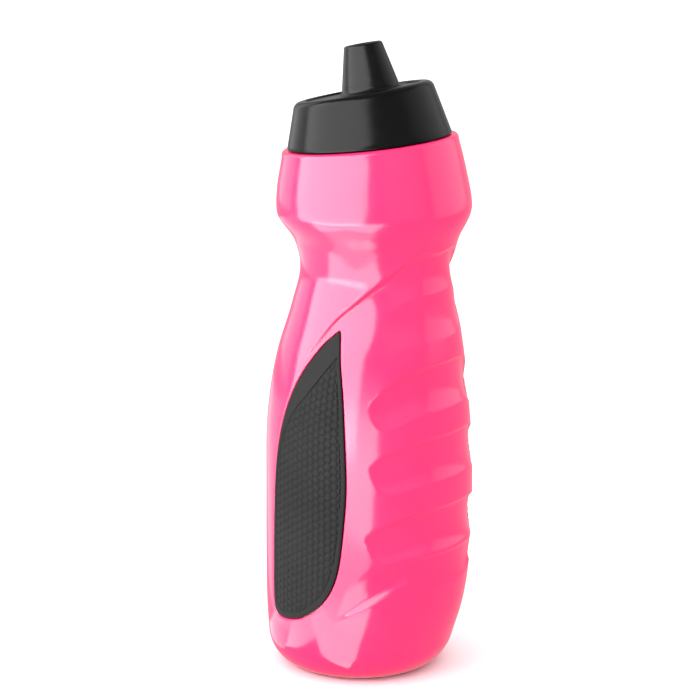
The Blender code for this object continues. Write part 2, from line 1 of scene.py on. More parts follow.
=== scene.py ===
"""The finished look of a sports squeeze bottle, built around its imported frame.

The frame stands on z = 0. +X is the side with the finger grooves and -X the palm side that the
neck leans towards; -Y and +Y carry the rubber grips. Lengths are in metres.
"""

import math

import bmesh
import bpy
import numpy as np
from mathutils import Matrix, Vector
from mathutils.geometry import delaunay_2d_cdt


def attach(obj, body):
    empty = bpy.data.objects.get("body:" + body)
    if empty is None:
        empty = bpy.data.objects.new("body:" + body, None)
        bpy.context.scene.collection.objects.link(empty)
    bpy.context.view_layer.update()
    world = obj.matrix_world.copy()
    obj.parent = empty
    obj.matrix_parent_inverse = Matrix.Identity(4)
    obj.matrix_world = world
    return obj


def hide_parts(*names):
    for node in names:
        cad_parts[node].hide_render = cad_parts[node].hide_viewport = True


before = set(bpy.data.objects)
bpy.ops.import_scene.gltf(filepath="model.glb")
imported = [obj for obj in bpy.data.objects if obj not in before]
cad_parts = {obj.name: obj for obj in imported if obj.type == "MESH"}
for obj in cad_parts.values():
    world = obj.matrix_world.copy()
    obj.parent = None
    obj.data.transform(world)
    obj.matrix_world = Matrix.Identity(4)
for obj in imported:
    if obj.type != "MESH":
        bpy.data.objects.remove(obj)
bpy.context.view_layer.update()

GAP = 0.0003  # clearance kept between pieces that touch

# --- bottle body ---
# height, section radius, and how far the section's centre sits towards the finger grooves
HEEL = (0.0115, 0.0342, -0.0036)
HAUNCH = (0.0220, 0.0360, -0.0020)
HIP = (0.0460, 0.0377, -0.0001)
BELLY = (0.0730, 0.0378, 0.0002)
RIBS = (0.0950, 0.0370, -0.0001)
CHEST = (0.1190, 0.0339, 0.0008)
NAPE = (0.1371, 0.0299, 0.0025)
WAIST = (0.1512, 0.0276, 0.0034)
UNDERCUT = (0.1611, 0.0296, 0.0032)
BULGE = (0.1726, 0.0352, 0.0023)
SHOULDER = (0.1830, 0.0341, 0.0011)
LIP = (0.1941, 0.0319, 0.0004)
STATIONS = (HEEL, HAUNCH, HIP, BELLY, RIBS, CHEST, NAPE, WAIST, UNDERCUT, BULGE, SHOULDER, LIP)
LEAN_START = 0.1595  # the sections start to tip here
LEAN_END = 0.1915  # and are square to the lid's axis from here up
LID_LEAN = 7.7  # degrees

BASE_RADIUS = 0.0227
BASE_OFFSET = -0.0044
HEEL_EXPONENT = 2.1  # squareness of the heel's curve
HEEL_TAPER = (HAUNCH[1] - HEEL[1]) / (HAUNCH[0] - HEEL[0])
FOOT_INNER_RADIUS = 0.0150  # the flat ring that the bottle stands on ends here
PUSH_UP = 0.0030  # height of the hollow under the base
PUSH_UP_LEVEL = 0.35  # part of the hollow's radius over which its top is level
WALL = 0.0013
CAVITY_TOP = 0.008  # the inside wall's first row, under the lip
CAVITY_WAIST = 0.0025  # and its closest row above the waist
CAVITY_HEEL = 0.004  # its closest row above the heel
CAVITY_UPPER_ROWS = 6
CAVITY_ROW = 0.006
CAVITY_HEEL_PART = 0.5  # its last row, as a part of the heel's height
# radius and height over the cavity's floor
CAVITY_FLOOR = (
    (BASE_RADIUS - 0.003, 0.0020),
    (0.0130, PUSH_UP * 0.7 + WALL),
    (0.0060, PUSH_UP + WALL),
)

# finger grooves: height of the sharp upper edge, depth, height of the groove, the angle from +X
# where it ends, and how far its edge sinks by then
GROOVES = (
    (0.1453, 0.0010, 0.0165, 50.0, 0.0045),
    (0.1203, 0.0018, 0.0165, 52.0, 0.0129),
    (0.0943, 0.0014, 0.0165, 52.0, 0.0090),
    (0.0679, 0.0019, 0.0165, 54.0, 0.0086),
    (0.0506, 0.0010, 0.0130, 32.0, 0.0010),
)
GROOVE_LIP = 0.0012  # height of the steep wall under the upper edge
GROOVE_BLUNTNESS = 10.0  # how suddenly a groove closes at its end
GROOVE_FALL = 2.4  # how late its lower half comes back out to the surface

# the crease that sets the waist off from the grip zone, as (angle from +X, height)
CREASE = (
    (0.0, 0.1603),
    (24.0, 0.1600),
    (45.0, 0.1529),
    (67.0, 0.1442),
    (82.0, 0.1365),
    (97.5, 0.1230),
)
CREASE_FADE = (85.5, 101.5)  # it dies out between these angles
CREASE_DEPTH = 0.0014
CREASE_UPPER = 0.0020  # the body steps in over this height
CREASE_LOWER = 0.0240  # and is back out this far below the crease

# the ledge that rises from under the grip, as (angle from +X, height)
LEDGE = ((22.0, 0.0418), (34.0, 0.0392), (50.0, 0.0332), (70.0, 0.0250))
LEDGE_STEP = 0.0011
LEDGE_WIDTH = 0.0024
LEDGE_RUN = 0.0130  # the body comes back out over this height above the ledge
LEDGE_FADE = 14.0  # each end dies out over this angle

# --- side grips ---
# outline as (angle from +X in degrees, height): tip, palm edge down, foot, groove edge up
GRIP_OUTLINE = (
    (77.4, 0.1327),
    (89.4, 0.1254),
    (103.0, 0.1098),
    (112.4, 0.0910),
    (117.8, 0.0707),
    (119.1, 0.0464),
    (118.9, 0.0281),
    (114.7, 0.0233),
    (103.8, 0.0231),
    (90.9, 0.0257),
    (78.6, 0.0323),
    (70.9, 0.0425),
    (67.3, 0.0589),
    (65.3, 0.0812),
    (68.0, 0.1085),
    (75.3, 0.1304),
)
# the part of the grip that carries scales, outlined in the same way
SCALE_FIELD = (
    (74.6, 0.1243),
    (80.9, 0.1191),
    (87.4, 0.1135),
    (93.4, 0.1083),
    (100.9, 0.1022),
    (107.4, 0.0940),
    (112.6, 0.0839),
    (115.6, 0.0687),
    (116.4, 0.0485),
    (116.2, 0.0309),
    (112.6, 0.0261),
    (104.3, 0.0256),
    (92.4, 0.0276),
    (80.6, 0.0341),
    (73.4, 0.0436),
    (69.6, 0.0589),
    (67.6, 0.0812),
    (69.8, 0.1065),
)
GRIP_THICKNESS = 0.0016
ARC = math.radians(1.0) * BELLY[1]  # metres of arc per degree at the belly
SCALE_PITCH = 0.0028
SCALE_RELIEF = 0.00034
SCALE_CROWN = -0.00004  # a scale's middle stands out this far
# how far a scale's edge is set in, and the depth there: foot, flank, top
SCALE_PROFILE = ((0.00016, SCALE_RELIEF), (0.00030, 0.00012), (0.00052, 0.0))
SCALE_FULL = 0.25  # a scale of this area, in pitches squared, counts as full
SCALE_LEAST = (0.6, 0.12)  # parts of that which a cut scale's foot and each ring need
SCALE_OUTSIDE = 0.7  # pitches outside the field beyond which no scale is drawn
SCALE_EDGE_REACH = 1.3  # pitches within which an edge of the field may cut a scale
SCALE_REACH = 0.01  # a square of this half size holds any scale
FIELD_INSET = 0.00026
# how far each ring grows from its outline, and its depth: the rim, then the field's edge
GRIP_RIM = ((0.0, 0.00045), (-0.00006, 0.00024), (-0.00018, 0.0001), (-0.00036, 0.00002), (-0.0006, 0.0))
FIELD_EDGE = ((0.0, 0.0), (-0.00010, 0.00006), (-0.00022, SCALE_RELIEF))
GRIP_WALL = 0.0011  # body wall left behind the grip's pocket
POCKET_ANGLES = (63.0, 121.0)
POCKET_HEIGHTS = (0.0190, 0.1350)
POCKET_BLEND = (8.0, 0.006)  # angle and height over which the wall steps in behind the pocket
# how far each ring of the pocket's edge grows from the grip's outline, and its depth
POCKET_EDGE = (
    (0.00105, 0.0),
    (0.0008, 0.00003),
    (0.00058, 0.00013),
    (0.00042, 0.0003),
    (0.00034, 0.00052),
    (0.0003, GRIP_THICKNESS + GAP),
)

# --- lid frame: heights from here on are measured from the lid's lower edge, along its axis ---
LID_X = 0.0001
LID_Z = 0.1963
SHOULDER_FACE = -0.0004
SHOULDER_ROUND = 0.0014
NECK_RADIUS = 0.0210
NECK_BORE = 0.0193
NECK_TOP = 0.0105
SHOULDER_ROW = 0.0265  # a row part of the way in over the shoulder's flat top
NECK_FOOT = ((0.0008, 0.0), (0.0002, 0.0002))  # out from the neck and up from the shoulder
NECK_EDGE = 0.0004  # round edges of the neck's rim
NECK_EDGE_SAG = 0.0001
NECK_THREAD_ROWS = (0.0008, 0.0006)  # its rows stop this far from the shoulder and the rim
# radius and height: down the neck's bore and out under the shoulder
NECK_UNDERSIDE = (
    (NECK_BORE, SHOULDER_FACE - 0.0006),
    (NECK_BORE + 0.0006, SHOULDER_FACE - 0.0014),
    (0.0270, SHOULDER_FACE - 0.0017),
    (LIP[1] - WALL - 0.0008, -0.0042),
)

THREAD_PITCH = 0.0055
THREAD_BEAD = 0.0010
BEAD_HALF_WIDTH = 1.15  # at its wall, as a multiple of its height
BEAD_BLUNTNESS = 2.4
THREAD_RUN_IN = 0.10  # turns over which a thread's end sinks into its wall
THREAD_LAPS = range(-1, 4)  # laps of the helix that may cross one ring
NECK_THREAD_START = 0.0026
NECK_THREAD_TURNS = 1.15
LID_THREAD_DROP = 0.00175  # the lid's thread hangs this far under the neck's
LID_THREAD_FROM = 0.25  # in turns, along the neck's helix
LID_THREAD_TURNS = 1.05

LID_RADIUS = 0.0296
LID_TOP_RADIUS = 0.0254
LID_HEIGHT = 0.0179
LID_WALL = 0.0017
LID_FOOT_ROUND = 0.0004
LID_FOOT_SAG = 0.0001
PLATE_BOTTOM = 0.0123
COLLAR_WALL_INNER = 0.0224
COLLAR_WALL_OUTER = 0.0241
COLLAR_WALL_FOOT = 0.0008
COLLAR_WALL_ROOT = 0.0095
COLLAR_CHAMFER = 0.0003
COLLAR_ROWS_STOP = 0.0002  # the thread's rows stop this far under the plate

GASKET_INNER = 0.0190
GASKET_OUTER = 0.0219

# --- lid top: a tilted plane through the rim, with heights measured up from it ---
TOP_TILT = 5.0
TOP_X = -0.0008  # the rim is off-centre, because the tilted plane cuts a cone
LID_EDGE = 0.0030
LID_EDGE_DRAW = 0.92  # the edge's centre is drawn in by this part of its radius
RIM_EDGE = 0.0005
DISH_RADIUS = 0.0209
DISH_DEPTH = 0.0019
SPOUT_HOLE = 0.0082

# --- spout: square to the lid's top, with heights measured up from its flange's underside ---
SPOUT_X = 0.0038
SPOUT_FLANGE = 0.0206
SPOUT_FLANGE_TOP = 0.0010
SPOUT_FLANGE_ROUND = 0.0003
SPOUT_FLANGE_SAG = 0.0001
SPOUT_DECK_ROW = 0.0030  # a row this far in from the flange's edge
SPOUT_DECK_OFFSET = 0.7  # and its part of the flange's offset
SPOUT_TOP = 0.0183
SPOUT_ROOT_RADIUS = 0.0101
SPOUT_TOP_RADIUS = 0.0068
SPOUT_FILLET = 0.0026
SPOUT_EDGE = 0.0012
SPOUT_COLLAR = 0.0079
SPOUT_COLLAR_END = -0.0071
SPOUT_COLLAR_TAPER = 0.0006
SPOUT_BEAD = 0.0087
SPOUT_BEAD_TOP = -0.0055
SPOUT_BEAD_HEIGHT = 0.0008
SPOUT_BORE = 0.0052
SPOUT_MOUTH = 0.0043
SPOUT_MOUTH_ROUND = 0.0005
SPOUT_SEAT = 0.0157

VALVE_RADIUS = 0.0049
VALVE_THICKNESS = 0.0012
VALVE_DISH = 0.0005
VALVE_RIM = 0.0010
SLIT_WIDTH = 0.0003
SLIT_LENGTH = 0.0058
SLIT_END = 0.0002  # each slit dies out over this length
SLIT_FLOOR = 0.4  # part of a slit's half width that is level
SLIT_DEPTHS = (0.0005, -0.0003)  # cut into the top, and into the underside
VALVE_ROUND = 0.0002
VALVE_MIDDLE = 0.0002  # radius of the innermost ring
VALVE_UNDER_DISH = 0.4  # the underside is dished by this part of the top's dish
RETAINER_HEIGHT = 0.0030
RETAINER_BORE = 0.0039
RING_ROUND = 0.00025

# --- fineness ---
COLUMNS = 240
LID_COLUMNS = 192
VALVE_COLUMNS = 160
ROUND_COLUMNS = 128  # the spout and the loose rings
ROW = 0.00062
THREAD_ROW = 0.00024
HEEL_ROWS = 19
HEEL_CROWDING = 1.7  # the heel's rows stand closer together towards the foot
FOOT_ROWS = 9
LIP_ROWS = 9
LID_EDGE_ROWS = 14
LID_SIDE_ROWS = 11
SPOUT_ROWS = 9
SPOUT_EDGE_ROWS = 9
SPOUT_FILLET_STEPS = 14
SMALL_ROUND_ROWS = 5
VALVE_ROWS = 36
POCKET_OUTLINE_POINTS = 420
GRIP_OUTLINE_POINTS = 360
FIELD_OUTLINE_POINTS = 300
CURVE_STEPS = 24  # points between two of an outline's own points
GRIP_SPACING = 0.0013  # between points on the grip's plain rim
GRIP_MARGINS = (0.0010, 0.0005)  # kept between those points, the outline and the field
BACK_SPACING = 0.003  # between points on the grip's back
BACK_MARGIN = 0.0012
POCKET_MARGIN = 0.0005  # kept between the pocket's edge and the points round it
POCKET_FLOOR_SKIP = 3  # one in this many points is kept on the pocket's floor
STAGGER = 0.866  # row spacing of a staggered grid, in point spacings
MERGE = 0.000002
PER_METRE = 1000.0  # triangles are worked out in millimetres
TRIANGLE_TOLERANCE = 1e-5
# faces that meet at more than this angle get a sharp edge
BODY_SHARP = 55.0
GRIP_SHARP = 75.0
LID_SHARP = 38.0
RING_SHARP = 50.0
WINDOW_ANGLES = (57, 128)  # the part of the body that is meshed round the grip's pocket
WINDOW_HEIGHTS = (0.0150, 0.1400)


# ============ shape ============
def smoothstep(low, high, value):
    t = np.clip((value - low) / (high - low), 0.0, 1.0)
    return t * t * (3.0 - 2.0 * t)


def smooth_curve(points, at, column=1):
    """A smooth curve through one column of points, level wherever the column turns back."""
    x = np.array([point[0] for point in points])
    y = np.array([point[column] for point in points])
    width = np.diff(x)
    slope = np.diff(y) / width
    tangent = np.empty_like(y)
    tangent[1:-1] = (slope[:-1] * width[1:] + slope[1:] * width[:-1]) / (width[:-1] + width[1:])
    tangent[1:-1][slope[:-1] * slope[1:] <= 0] = 0.0
    tangent[0] = slope[0]
    tangent[-1] = slope[-1]
    i = np.clip(np.searchsorted(x, at) - 1, 0, len(x) - 2)
    t = (at - x[i]) / width[i]
    start = (1.0 + 2.0 * t) * (1.0 - t) ** 2 * y[i] + t * (1.0 - t) ** 2 * width[i] * tangent[i]
    end = t * t * (3.0 - 2.0 * t) * y[i + 1] + t * t * (t - 1.0) * width[i] * tangent[i + 1]
    return start + end


def section_radius(height):
    tapered = HEEL[1] - HEEL_TAPER * (HEEL[0] - height)
    deepest = HEEL[1] - HEEL_TAPER * HEEL[0] - BASE_RADIUS
    below = 1.0 - np.clip(height / HEEL[0], 0.0, 1.0)
    fullness = (1.0 - below**HEEL_EXPONENT) ** (1.0 / HEEL_EXPONENT)
    heel = tapered - deepest * (1.0 - fullness)
    return np.where(height < HEEL[0], heel, smooth_curve(STATIONS, np.maximum(height, HEEL[0]), 1))


def section_offset(height):
    heel = BASE_OFFSET + (HEEL[2] - BASE_OFFSET) * height / HEEL[0]
    return np.where(height < HEEL[0], heel, smooth_curve(STATIONS, np.maximum(height, HEEL[0]), 2))


def groove_depth(angle, height):
    """Scoops with a sharp upper edge, deepest half way down, that narrow to a round end."""
    depth = np.zeros_like(angle * height)
    for top, deepest, tall, reach, droop in GROOVES:
        along = np.minimum(angle / reach, 1.0)
        narrowing = 1.0 - along**GROOVE_BLUNTNESS
        span = np.maximum(tall * narrowing, 1e-6)
        below = top - droop * along**3 - height
        middle = np.clip(2.0 * below / span - 1.0, -1.0, 1.0)
        scoop = np.where(middle < 0.0, 1.0 - 0.5 * middle**2, 1.0 - np.abs(middle) ** GROOVE_FALL)
        steep = smoothstep(0.0, GROOVE_LIP, below)
        depth = np.maximum(depth, deepest * narrowing * scoop * steep)
    return depth


def crease_depth(angle, height):
    below = smooth_curve(CREASE, np.minimum(angle, CREASE[-1][0])) - height
    steep = smoothstep(0.0, CREASE_UPPER, below)
    gentle = 1.0 - smoothstep(CREASE_UPPER, CREASE_LOWER, below)
    fade = 1.0 - smoothstep(*CREASE_FADE, angle)
    return CREASE_DEPTH * steep * gentle * fade


def ledge_depth(angle, height):
    first, last = LEDGE[0][0], LEDGE[-1][0]
    above = height - smooth_curve(LEDGE, np.clip(angle, first, last))
    step = smoothstep(0.0, LEDGE_WIDTH, above)
    gentle = 1.0 - smoothstep(LEDGE_WIDTH, LEDGE_WIDTH + LEDGE_RUN, above)
    fade = smoothstep(first, first + LEDGE_FADE, angle)
    fade = fade * (1.0 - smoothstep(last - LEDGE_FADE, last, angle))
    return LEDGE_STEP * step * gentle * fade


def relief(angle, height):
    """How far the outer surface is pressed in by the grooves, the crease and the ledge."""
    angle = np.abs(angle)
    pressed = np.maximum(groove_depth(angle, height), crease_depth(angle, height))
    return np.maximum(pressed, ledge_depth(angle, height))


def body_points(angle, height, inward=0.0):
    """Points on the body's outer surface. Angles run from +X towards -Y, in degrees."""
    angle, height = np.broadcast_arrays(np.asarray(angle, float), np.asarray(height, float))
    turn = np.radians(angle)
    radius = section_radius(height) - relief(angle, height) - inward
    lean = math.radians(LID_LEAN) * smoothstep(LEAN_START, LEAN_END, height)
    reach = radius * np.cos(turn)
    x = section_offset(height) + reach * np.cos(lean)
    z = height + reach * np.sin(lean)
    return np.stack((x, -radius * np.sin(turn), z), axis=-1)


def leaned(place, degrees):
    """A frame at a place whose axis leans this far towards the palm side."""
    return Matrix.Translation(place) @ Matrix.Rotation(-math.radians(degrees), 4, "Y")


LID_FRAME = leaned((LID_X, 0.0, LID_Z), LID_LEAN)
TOP_FRAME = LID_FRAME @ leaned((TOP_X, 0.0, LID_HEIGHT), TOP_TILT)
SPOUT_FRAME = TOP_FRAME @ Matrix.Translation((SPOUT_X, 0.0, GAP - DISH_DEPTH))


def ring_points(radius, height, columns, matrix=None, offset=0.0):
    turn = 2.0 * math.pi * np.arange(columns) / columns
    flat = np.stack(
        (
            offset + radius * np.cos(turn),
            -radius * np.sin(turn),
            np.broadcast_to(height, turn.shape),
        ),
        axis=-1,
    )
    if matrix is None:
        return flat
    rotation = np.array(matrix.to_3x3())
    return flat @ rotation.T + np.array(matrix.translation)


def helix_bead(columns, height, first_turn, turns, drop):
    """Height of a helical bead above its wall, at each column of a ring at this height."""
    turn = -np.arange(columns) / columns % 1.0
    best = np.zeros(columns)
    for lap in THREAD_LAPS:
        along = turn + lap
        centre = NECK_THREAD_START + THREAD_PITCH * along - drop
        away = np.abs(height - centre) / (BEAD_HALF_WIDTH * THREAD_BEAD)
        body = np.sqrt(np.clip(1.0 - np.clip(away, 0.0, 1.0) ** BEAD_BLUNTNESS, 0.0, 1.0))
        last_turn = first_turn + turns
        ends = smoothstep(first_turn, first_turn + THREAD_RUN_IN, along)
        ends = ends * (1.0 - smoothstep(last_turn - THREAD_RUN_IN, last_turn, along))
        best = np.maximum(best, THREAD_BEAD * body * ends)
    return best


# ============ meshes ============
def new_object(name, points, faces, finish, smooth_to):
    mesh = bpy.data.meshes.new(name)
    mesh.from_pydata([tuple(p) for p in points], [], [tuple(f) for f in faces])
    mesh.validate()
    bm = bmesh.new()
    bm.from_mesh(mesh)
    bmesh.ops.remove_doubles(bm, verts=bm.verts, dist=MERGE)
    bmesh.ops.recalc_face_normals(bm, faces=bm.faces)
    bm.to_mesh(mesh)
    bm.free()
    mesh.materials.append(finish)
    mesh.shade_smooth()
    mesh.set_sharp_from_angle(angle=math.radians(smooth_to))
    made = bpy.data.objects.new(name, mesh)
    bpy.context.scene.collection.objects.link(made)
    return made


class Skin:
    """Collects points and faces; rings are joined by quads in the order they come."""

    def __init__(self):
        self.blocks = []
        self.faces = []
        self.count = 0

    def add(self, points):
        start = self.count
        self.blocks.append(np.asarray(points))
        self.count += len(points)
        return start

    def join(self, a, b, columns, skip=()):
        for i in range(columns):
            if i in skip:
                continue
            j = (i + 1) % columns
            self.faces.append((a + i, a + j, b + j, b + i))

    def rings(self, rings, closed=False):
        starts = [self.add(ring) for ring in rings]
        columns = len(rings[0])
        for a, b in zip(starts, starts[1:]):
            self.join(a, b, columns)
        if closed:
            self.join(starts[-1], starts[0], columns)
        return starts

    def cap(self, start, columns, centre):
        middle = self.add([centre])
        for i in range(columns):
            self.faces.append((start + i, start + (i + 1) % columns, middle))

    def points(self):
        return np.concatenate(self.blocks)


def closed_curve(points, count):
    """Evenly spaced points on a smooth closed curve, sharp at the first point."""
    dense = []
    total = len(points)
    for i in range(total):
        a, b = np.array(points[i]), np.array(points[(i + 1) % total])
        before = np.array(points[i - 1]) if i > 0 else a
        after = np.array(points[(i + 2) % total]) if i < total - 1 else b
        for k in range(CURVE_STEPS):
            t = k / CURVE_STEPS
            cubic = 2.0 * a + (b - before) * t
            cubic = cubic + (2.0 * before - 5.0 * a + 4.0 * b - after) * t * t
            cubic = cubic + (3.0 * a - before - 3.0 * b + after) * t**3
            dense.append(cubic * 0.5)
    dense.append(dense[0])
    dense = np.array(dense)
    lengths = np.concatenate(([0.0], np.cumsum(np.linalg.norm(np.diff(dense, axis=0), axis=1))))
    wanted = np.linspace(0.0, lengths[-1], count, endpoint=False)
    return np.stack([np.interp(wanted, lengths, dense[:, axis]) for axis in (0, 1)], axis=-1)


def flat_outline(outline, count):
    """The outline in (arc length, height), metres."""
    return closed_curve([(angle * ARC, height) for angle, height in outline], count)


def offset_loop(loop, grow):
    """A clockwise loop moved outward by grow, with its points kept apart at the sharp tip."""
    tangent = np.roll(loop, -1, axis=0) - np.roll(loop, 1, axis=0)
    tangent /= np.linalg.norm(tangent, axis=1)[:, None]
    return loop + np.stack((-tangent[:, 1], tangent[:, 0]), axis=-1) * grow


def signed_distance(points, loop):
    """Distance from each point to a closed loop, negative inside it."""
    nearest = np.full(len(points), np.inf)
    inside = np.zeros(len(points), bool)
    for a, b in zip(loop, np.roll(loop, -1, axis=0)):
        edge = b - a
        t = np.clip(((points - a) @ edge) / (edge @ edge), 0.0, 1.0)
        nearest = np.minimum(nearest, np.linalg.norm(points - a - t[:, None] * edge, axis=1))
        crosses = (a[1] > points[:, 1]) != (b[1] > points[:, 1])
        if edge[1] != 0.0:
            at = a[0] + (points[:, 1] - a[1]) / edge[1] * edge[0]
            inside ^= crosses & (points[:, 0] < at)
    return np.where(inside, -nearest, nearest)


def triangulate(points, loops):
    """Delaunay triangles over the points, keeping each loop (a list of point numbers) as edges."""
    edges = []
    for loop in loops:
        edges += list(zip(loop, loop[1:] + loop[:1]))
    verts = [Vector((float(x) * PER_METRE, float(y) * PER_METRE)) for x, y in points]
    out, _, faces, origin, _, _ = delaunay_2d_cdt(verts, edges, [], 0, TRIANGLE_TOLERANCE)
    where = np.array([(v.x / PER_METRE, v.y / PER_METRE) for v in out])
    return where, faces, origin


def grid_between(low, high, spacing):
    """Staggered points inside a box."""
    rows = int((high[1] - low[1]) / (spacing * STAGGER)) + 1
    out = []
    for row in range(rows):
        y = low[1] + row * spacing * STAGGER
        x = np.arange(low[0] + (row % 2) * spacing / 2, high[0], spacing)
        out.append(np.stack((x, np.full_like(x, y)), axis=-1))
    return np.concatenate(out)


# ============ materials ============
NOISE_RANGE = (0.3, 0.7)  # nearly all of a noise texture's values lie between these
COLOUR_STOPS = (0.35, 0.65)
DRIFT_SCALE = 38.0
SHEEN_SCALE = 160.0
GRAIN_HEIGHT = 0.0001


def shader_tree(name):
    made = bpy.data.materials.new(name)
    made.use_nodes = True
    tree = made.node_tree
    return made, tree, tree.nodes["Principled BSDF"]


def noise(tree, scale, detail):
    coords = tree.nodes.get("Texture Coordinate") or tree.nodes.new("ShaderNodeTexCoord")
    node = tree.nodes.new("ShaderNodeTexNoise")
    node.inputs["Scale"].default_value = scale
    node.inputs["Detail"].default_value = detail
    tree.links.new(coords.outputs["Object"], node.inputs["Vector"])
    return node


def spread(tree, source, low, high):
    node = tree.nodes.new("ShaderNodeMapRange")
    node.inputs["From Min"].default_value = NOISE_RANGE[0]
    node.inputs["From Max"].default_value = NOISE_RANGE[1]
    node.inputs["To Min"].default_value = low
    node.inputs["To Max"].default_value = high
    tree.links.new(source, node.inputs["Value"])
    return node.outputs["Result"]


def two_colours(tree, source, first, second):
    node = tree.nodes.new("ShaderNodeValToRGB")
    node.color_ramp.elements[0].position = COLOUR_STOPS[0]
    node.color_ramp.elements[0].color = (*first, 1.0)
    node.color_ramp.elements[1].position = COLOUR_STOPS[1]
    node.color_ramp.elements[1].color = (*second, 1.0)
    tree.links.new(source, node.inputs["Fac"])
    return node.outputs["Color"]


def bump(tree, shader, source, strength):
    node = tree.nodes.new("ShaderNodeBump")
    node.inputs["Strength"].default_value = strength
    node.inputs["Distance"].default_value = GRAIN_HEIGHT
    tree.links.new(source, node.inputs["Height"])
    tree.links.new(node.outputs["Normal"], shader.inputs["Normal"])


def moulded_plastic(name, first, second, rough, grain_scale, grain, specular=0.5):
    """Moulded plastic: faint colour drift, uneven sheen, and a fine grain left by the mould."""
    made, tree, shader = shader_tree(name)
    drift = noise(tree, DRIFT_SCALE, 3.0)
    tree.links.new(two_colours(tree, drift.outputs["Fac"], first, second), shader.inputs["Base Color"])
    sheen = noise(tree, SHEEN_SCALE, 2.0)
    tree.links.new(spread(tree, sheen.outputs["Fac"], *rough), shader.inputs["Roughness"])
    fine = noise(tree, grain_scale, 2.0)
    bump(tree, shader, fine.outputs["Fac"], grain)
    shader.inputs["Specular IOR Level"].default_value = specular
    return made


# name, two colours, roughness from and to, the grain's scale and strength, specular level
PINK = moulded_plastic(
    "bottle_pink", (0.98, 0.022, 0.142), (0.98, 0.026, 0.150), (0.15, 0.19), 900.0, 0.05
)
GRIP = moulded_plastic(
    "grip_rubber", (0.0125, 0.0125, 0.0125), (0.0160, 0.0160, 0.0160), (0.46, 0.58), 2600.0, 0.5, 0.05
)
LID = moulded_plastic(
    "lid_black", (0.0018, 0.0018, 0.0018), (0.0024, 0.0024, 0.0024), (0.21, 0.26), 2200.0, 0.16, 0.115
)
SPOUT = moulded_plastic(
    "spout_black", (0.0020, 0.0020, 0.0020), (0.0026, 0.0026, 0.0026), (0.24, 0.30), 1800.0, 0.12, 0.14
)
VALVE = moulded_plastic("valve_silicone", (0.36, 0.36, 0.35), (0.42, 0.42, 0.41), (0.4, 0.5), 1500.0, 0.1)
RETAINER = moulded_plastic(
    "retainer_black", (0.004, 0.004, 0.004), (0.006, 0.006, 0.006), (0.4, 0.5), 1500.0, 0.2
)
GASKET = moulded_plastic(
    "gasket_silicone", (0.14, 0.14, 0.145), (0.18, 0.18, 0.185), (0.45, 0.55), 1500.0, 0.2
)


# ============ bottle ============
def row_heights():
    """Row heights up the barrel, with a row exactly on each edge of the grip window."""
    low, high = WINDOW_HEIGHTS
    heel = low * np.linspace(0.0, 1.0, HEEL_ROWS)[1:] ** HEEL_CROWDING
    middle = np.linspace(low, high, int(round((high - low) / ROW)) + 1)[1:]
    top = np.linspace(high, LIP[0], int(round((LIP[0] - high) / ROW)) + 1)[1:]
    return np.concatenate((heel, middle, top))


def pocket_window(side):
    """The body's surface round and in one grip's pocket, as 3-D points and triangles."""
    step = 360.0 / COLUMNS
    first = math.ceil(WINDOW_ANGLES[0] / step) * step
    last = math.floor(WINDOW_ANGLES[1] / step) * step
    angles = np.arange(first, last + step / 2, step)
    rows = row_heights()
    rows = rows[(rows > WINDOW_HEIGHTS[0] - 1e-7) & (rows < WINDOW_HEIGHTS[1] + 1e-7)]
    loop = flat_outline(GRIP_OUTLINE, POCKET_OUTLINE_POINTS)
    brink = POCKET_EDGE[0][0]
    floor = POCKET_EDGE[-1][1]

    border = [(a * ARC, rows[0]) for a in angles]
    border += [(angles[-1] * ARC, h) for h in rows[1:]]
    border += [(a * ARC, rows[-1]) for a in angles[-2::-1]]
    border += [(angles[0] * ARC, h) for h in rows[-2:0:-1]]
    points = list(border)
    loops = [list(range(len(border)))]
    depth = [0.0] * len(border)
    for grow, deep in POCKET_EDGE:
        start = len(points)
        ring = offset_loop(loop, grow)
        points += [tuple(p) for p in ring]
        depth += [deep] * len(ring)
        loops.append(list(range(start, start + len(ring))))
    inner_a, inner_h = np.meshgrid(angles[1:-1], rows[1:-1])
    inner = np.stack((inner_a.ravel() * ARC, inner_h.ravel()), axis=-1)
    away = signed_distance(inner, loop)
    outside = inner[away > brink + POCKET_MARGIN]
    inside = inner[away < -POCKET_MARGIN][::POCKET_FLOOR_SKIP]
    points += [tuple(p) for p in outside] + [tuple(p) for p in inside]
    depth += [0.0] * len(outside) + [floor] * len(inside)
    where, faces, origin = triangulate(points, loops)
    depth = np.array([depth[o[0]] if o else floor for o in origin])
    return body_points(side * where[:, 0] / ARC, where[:, 1], depth), faces


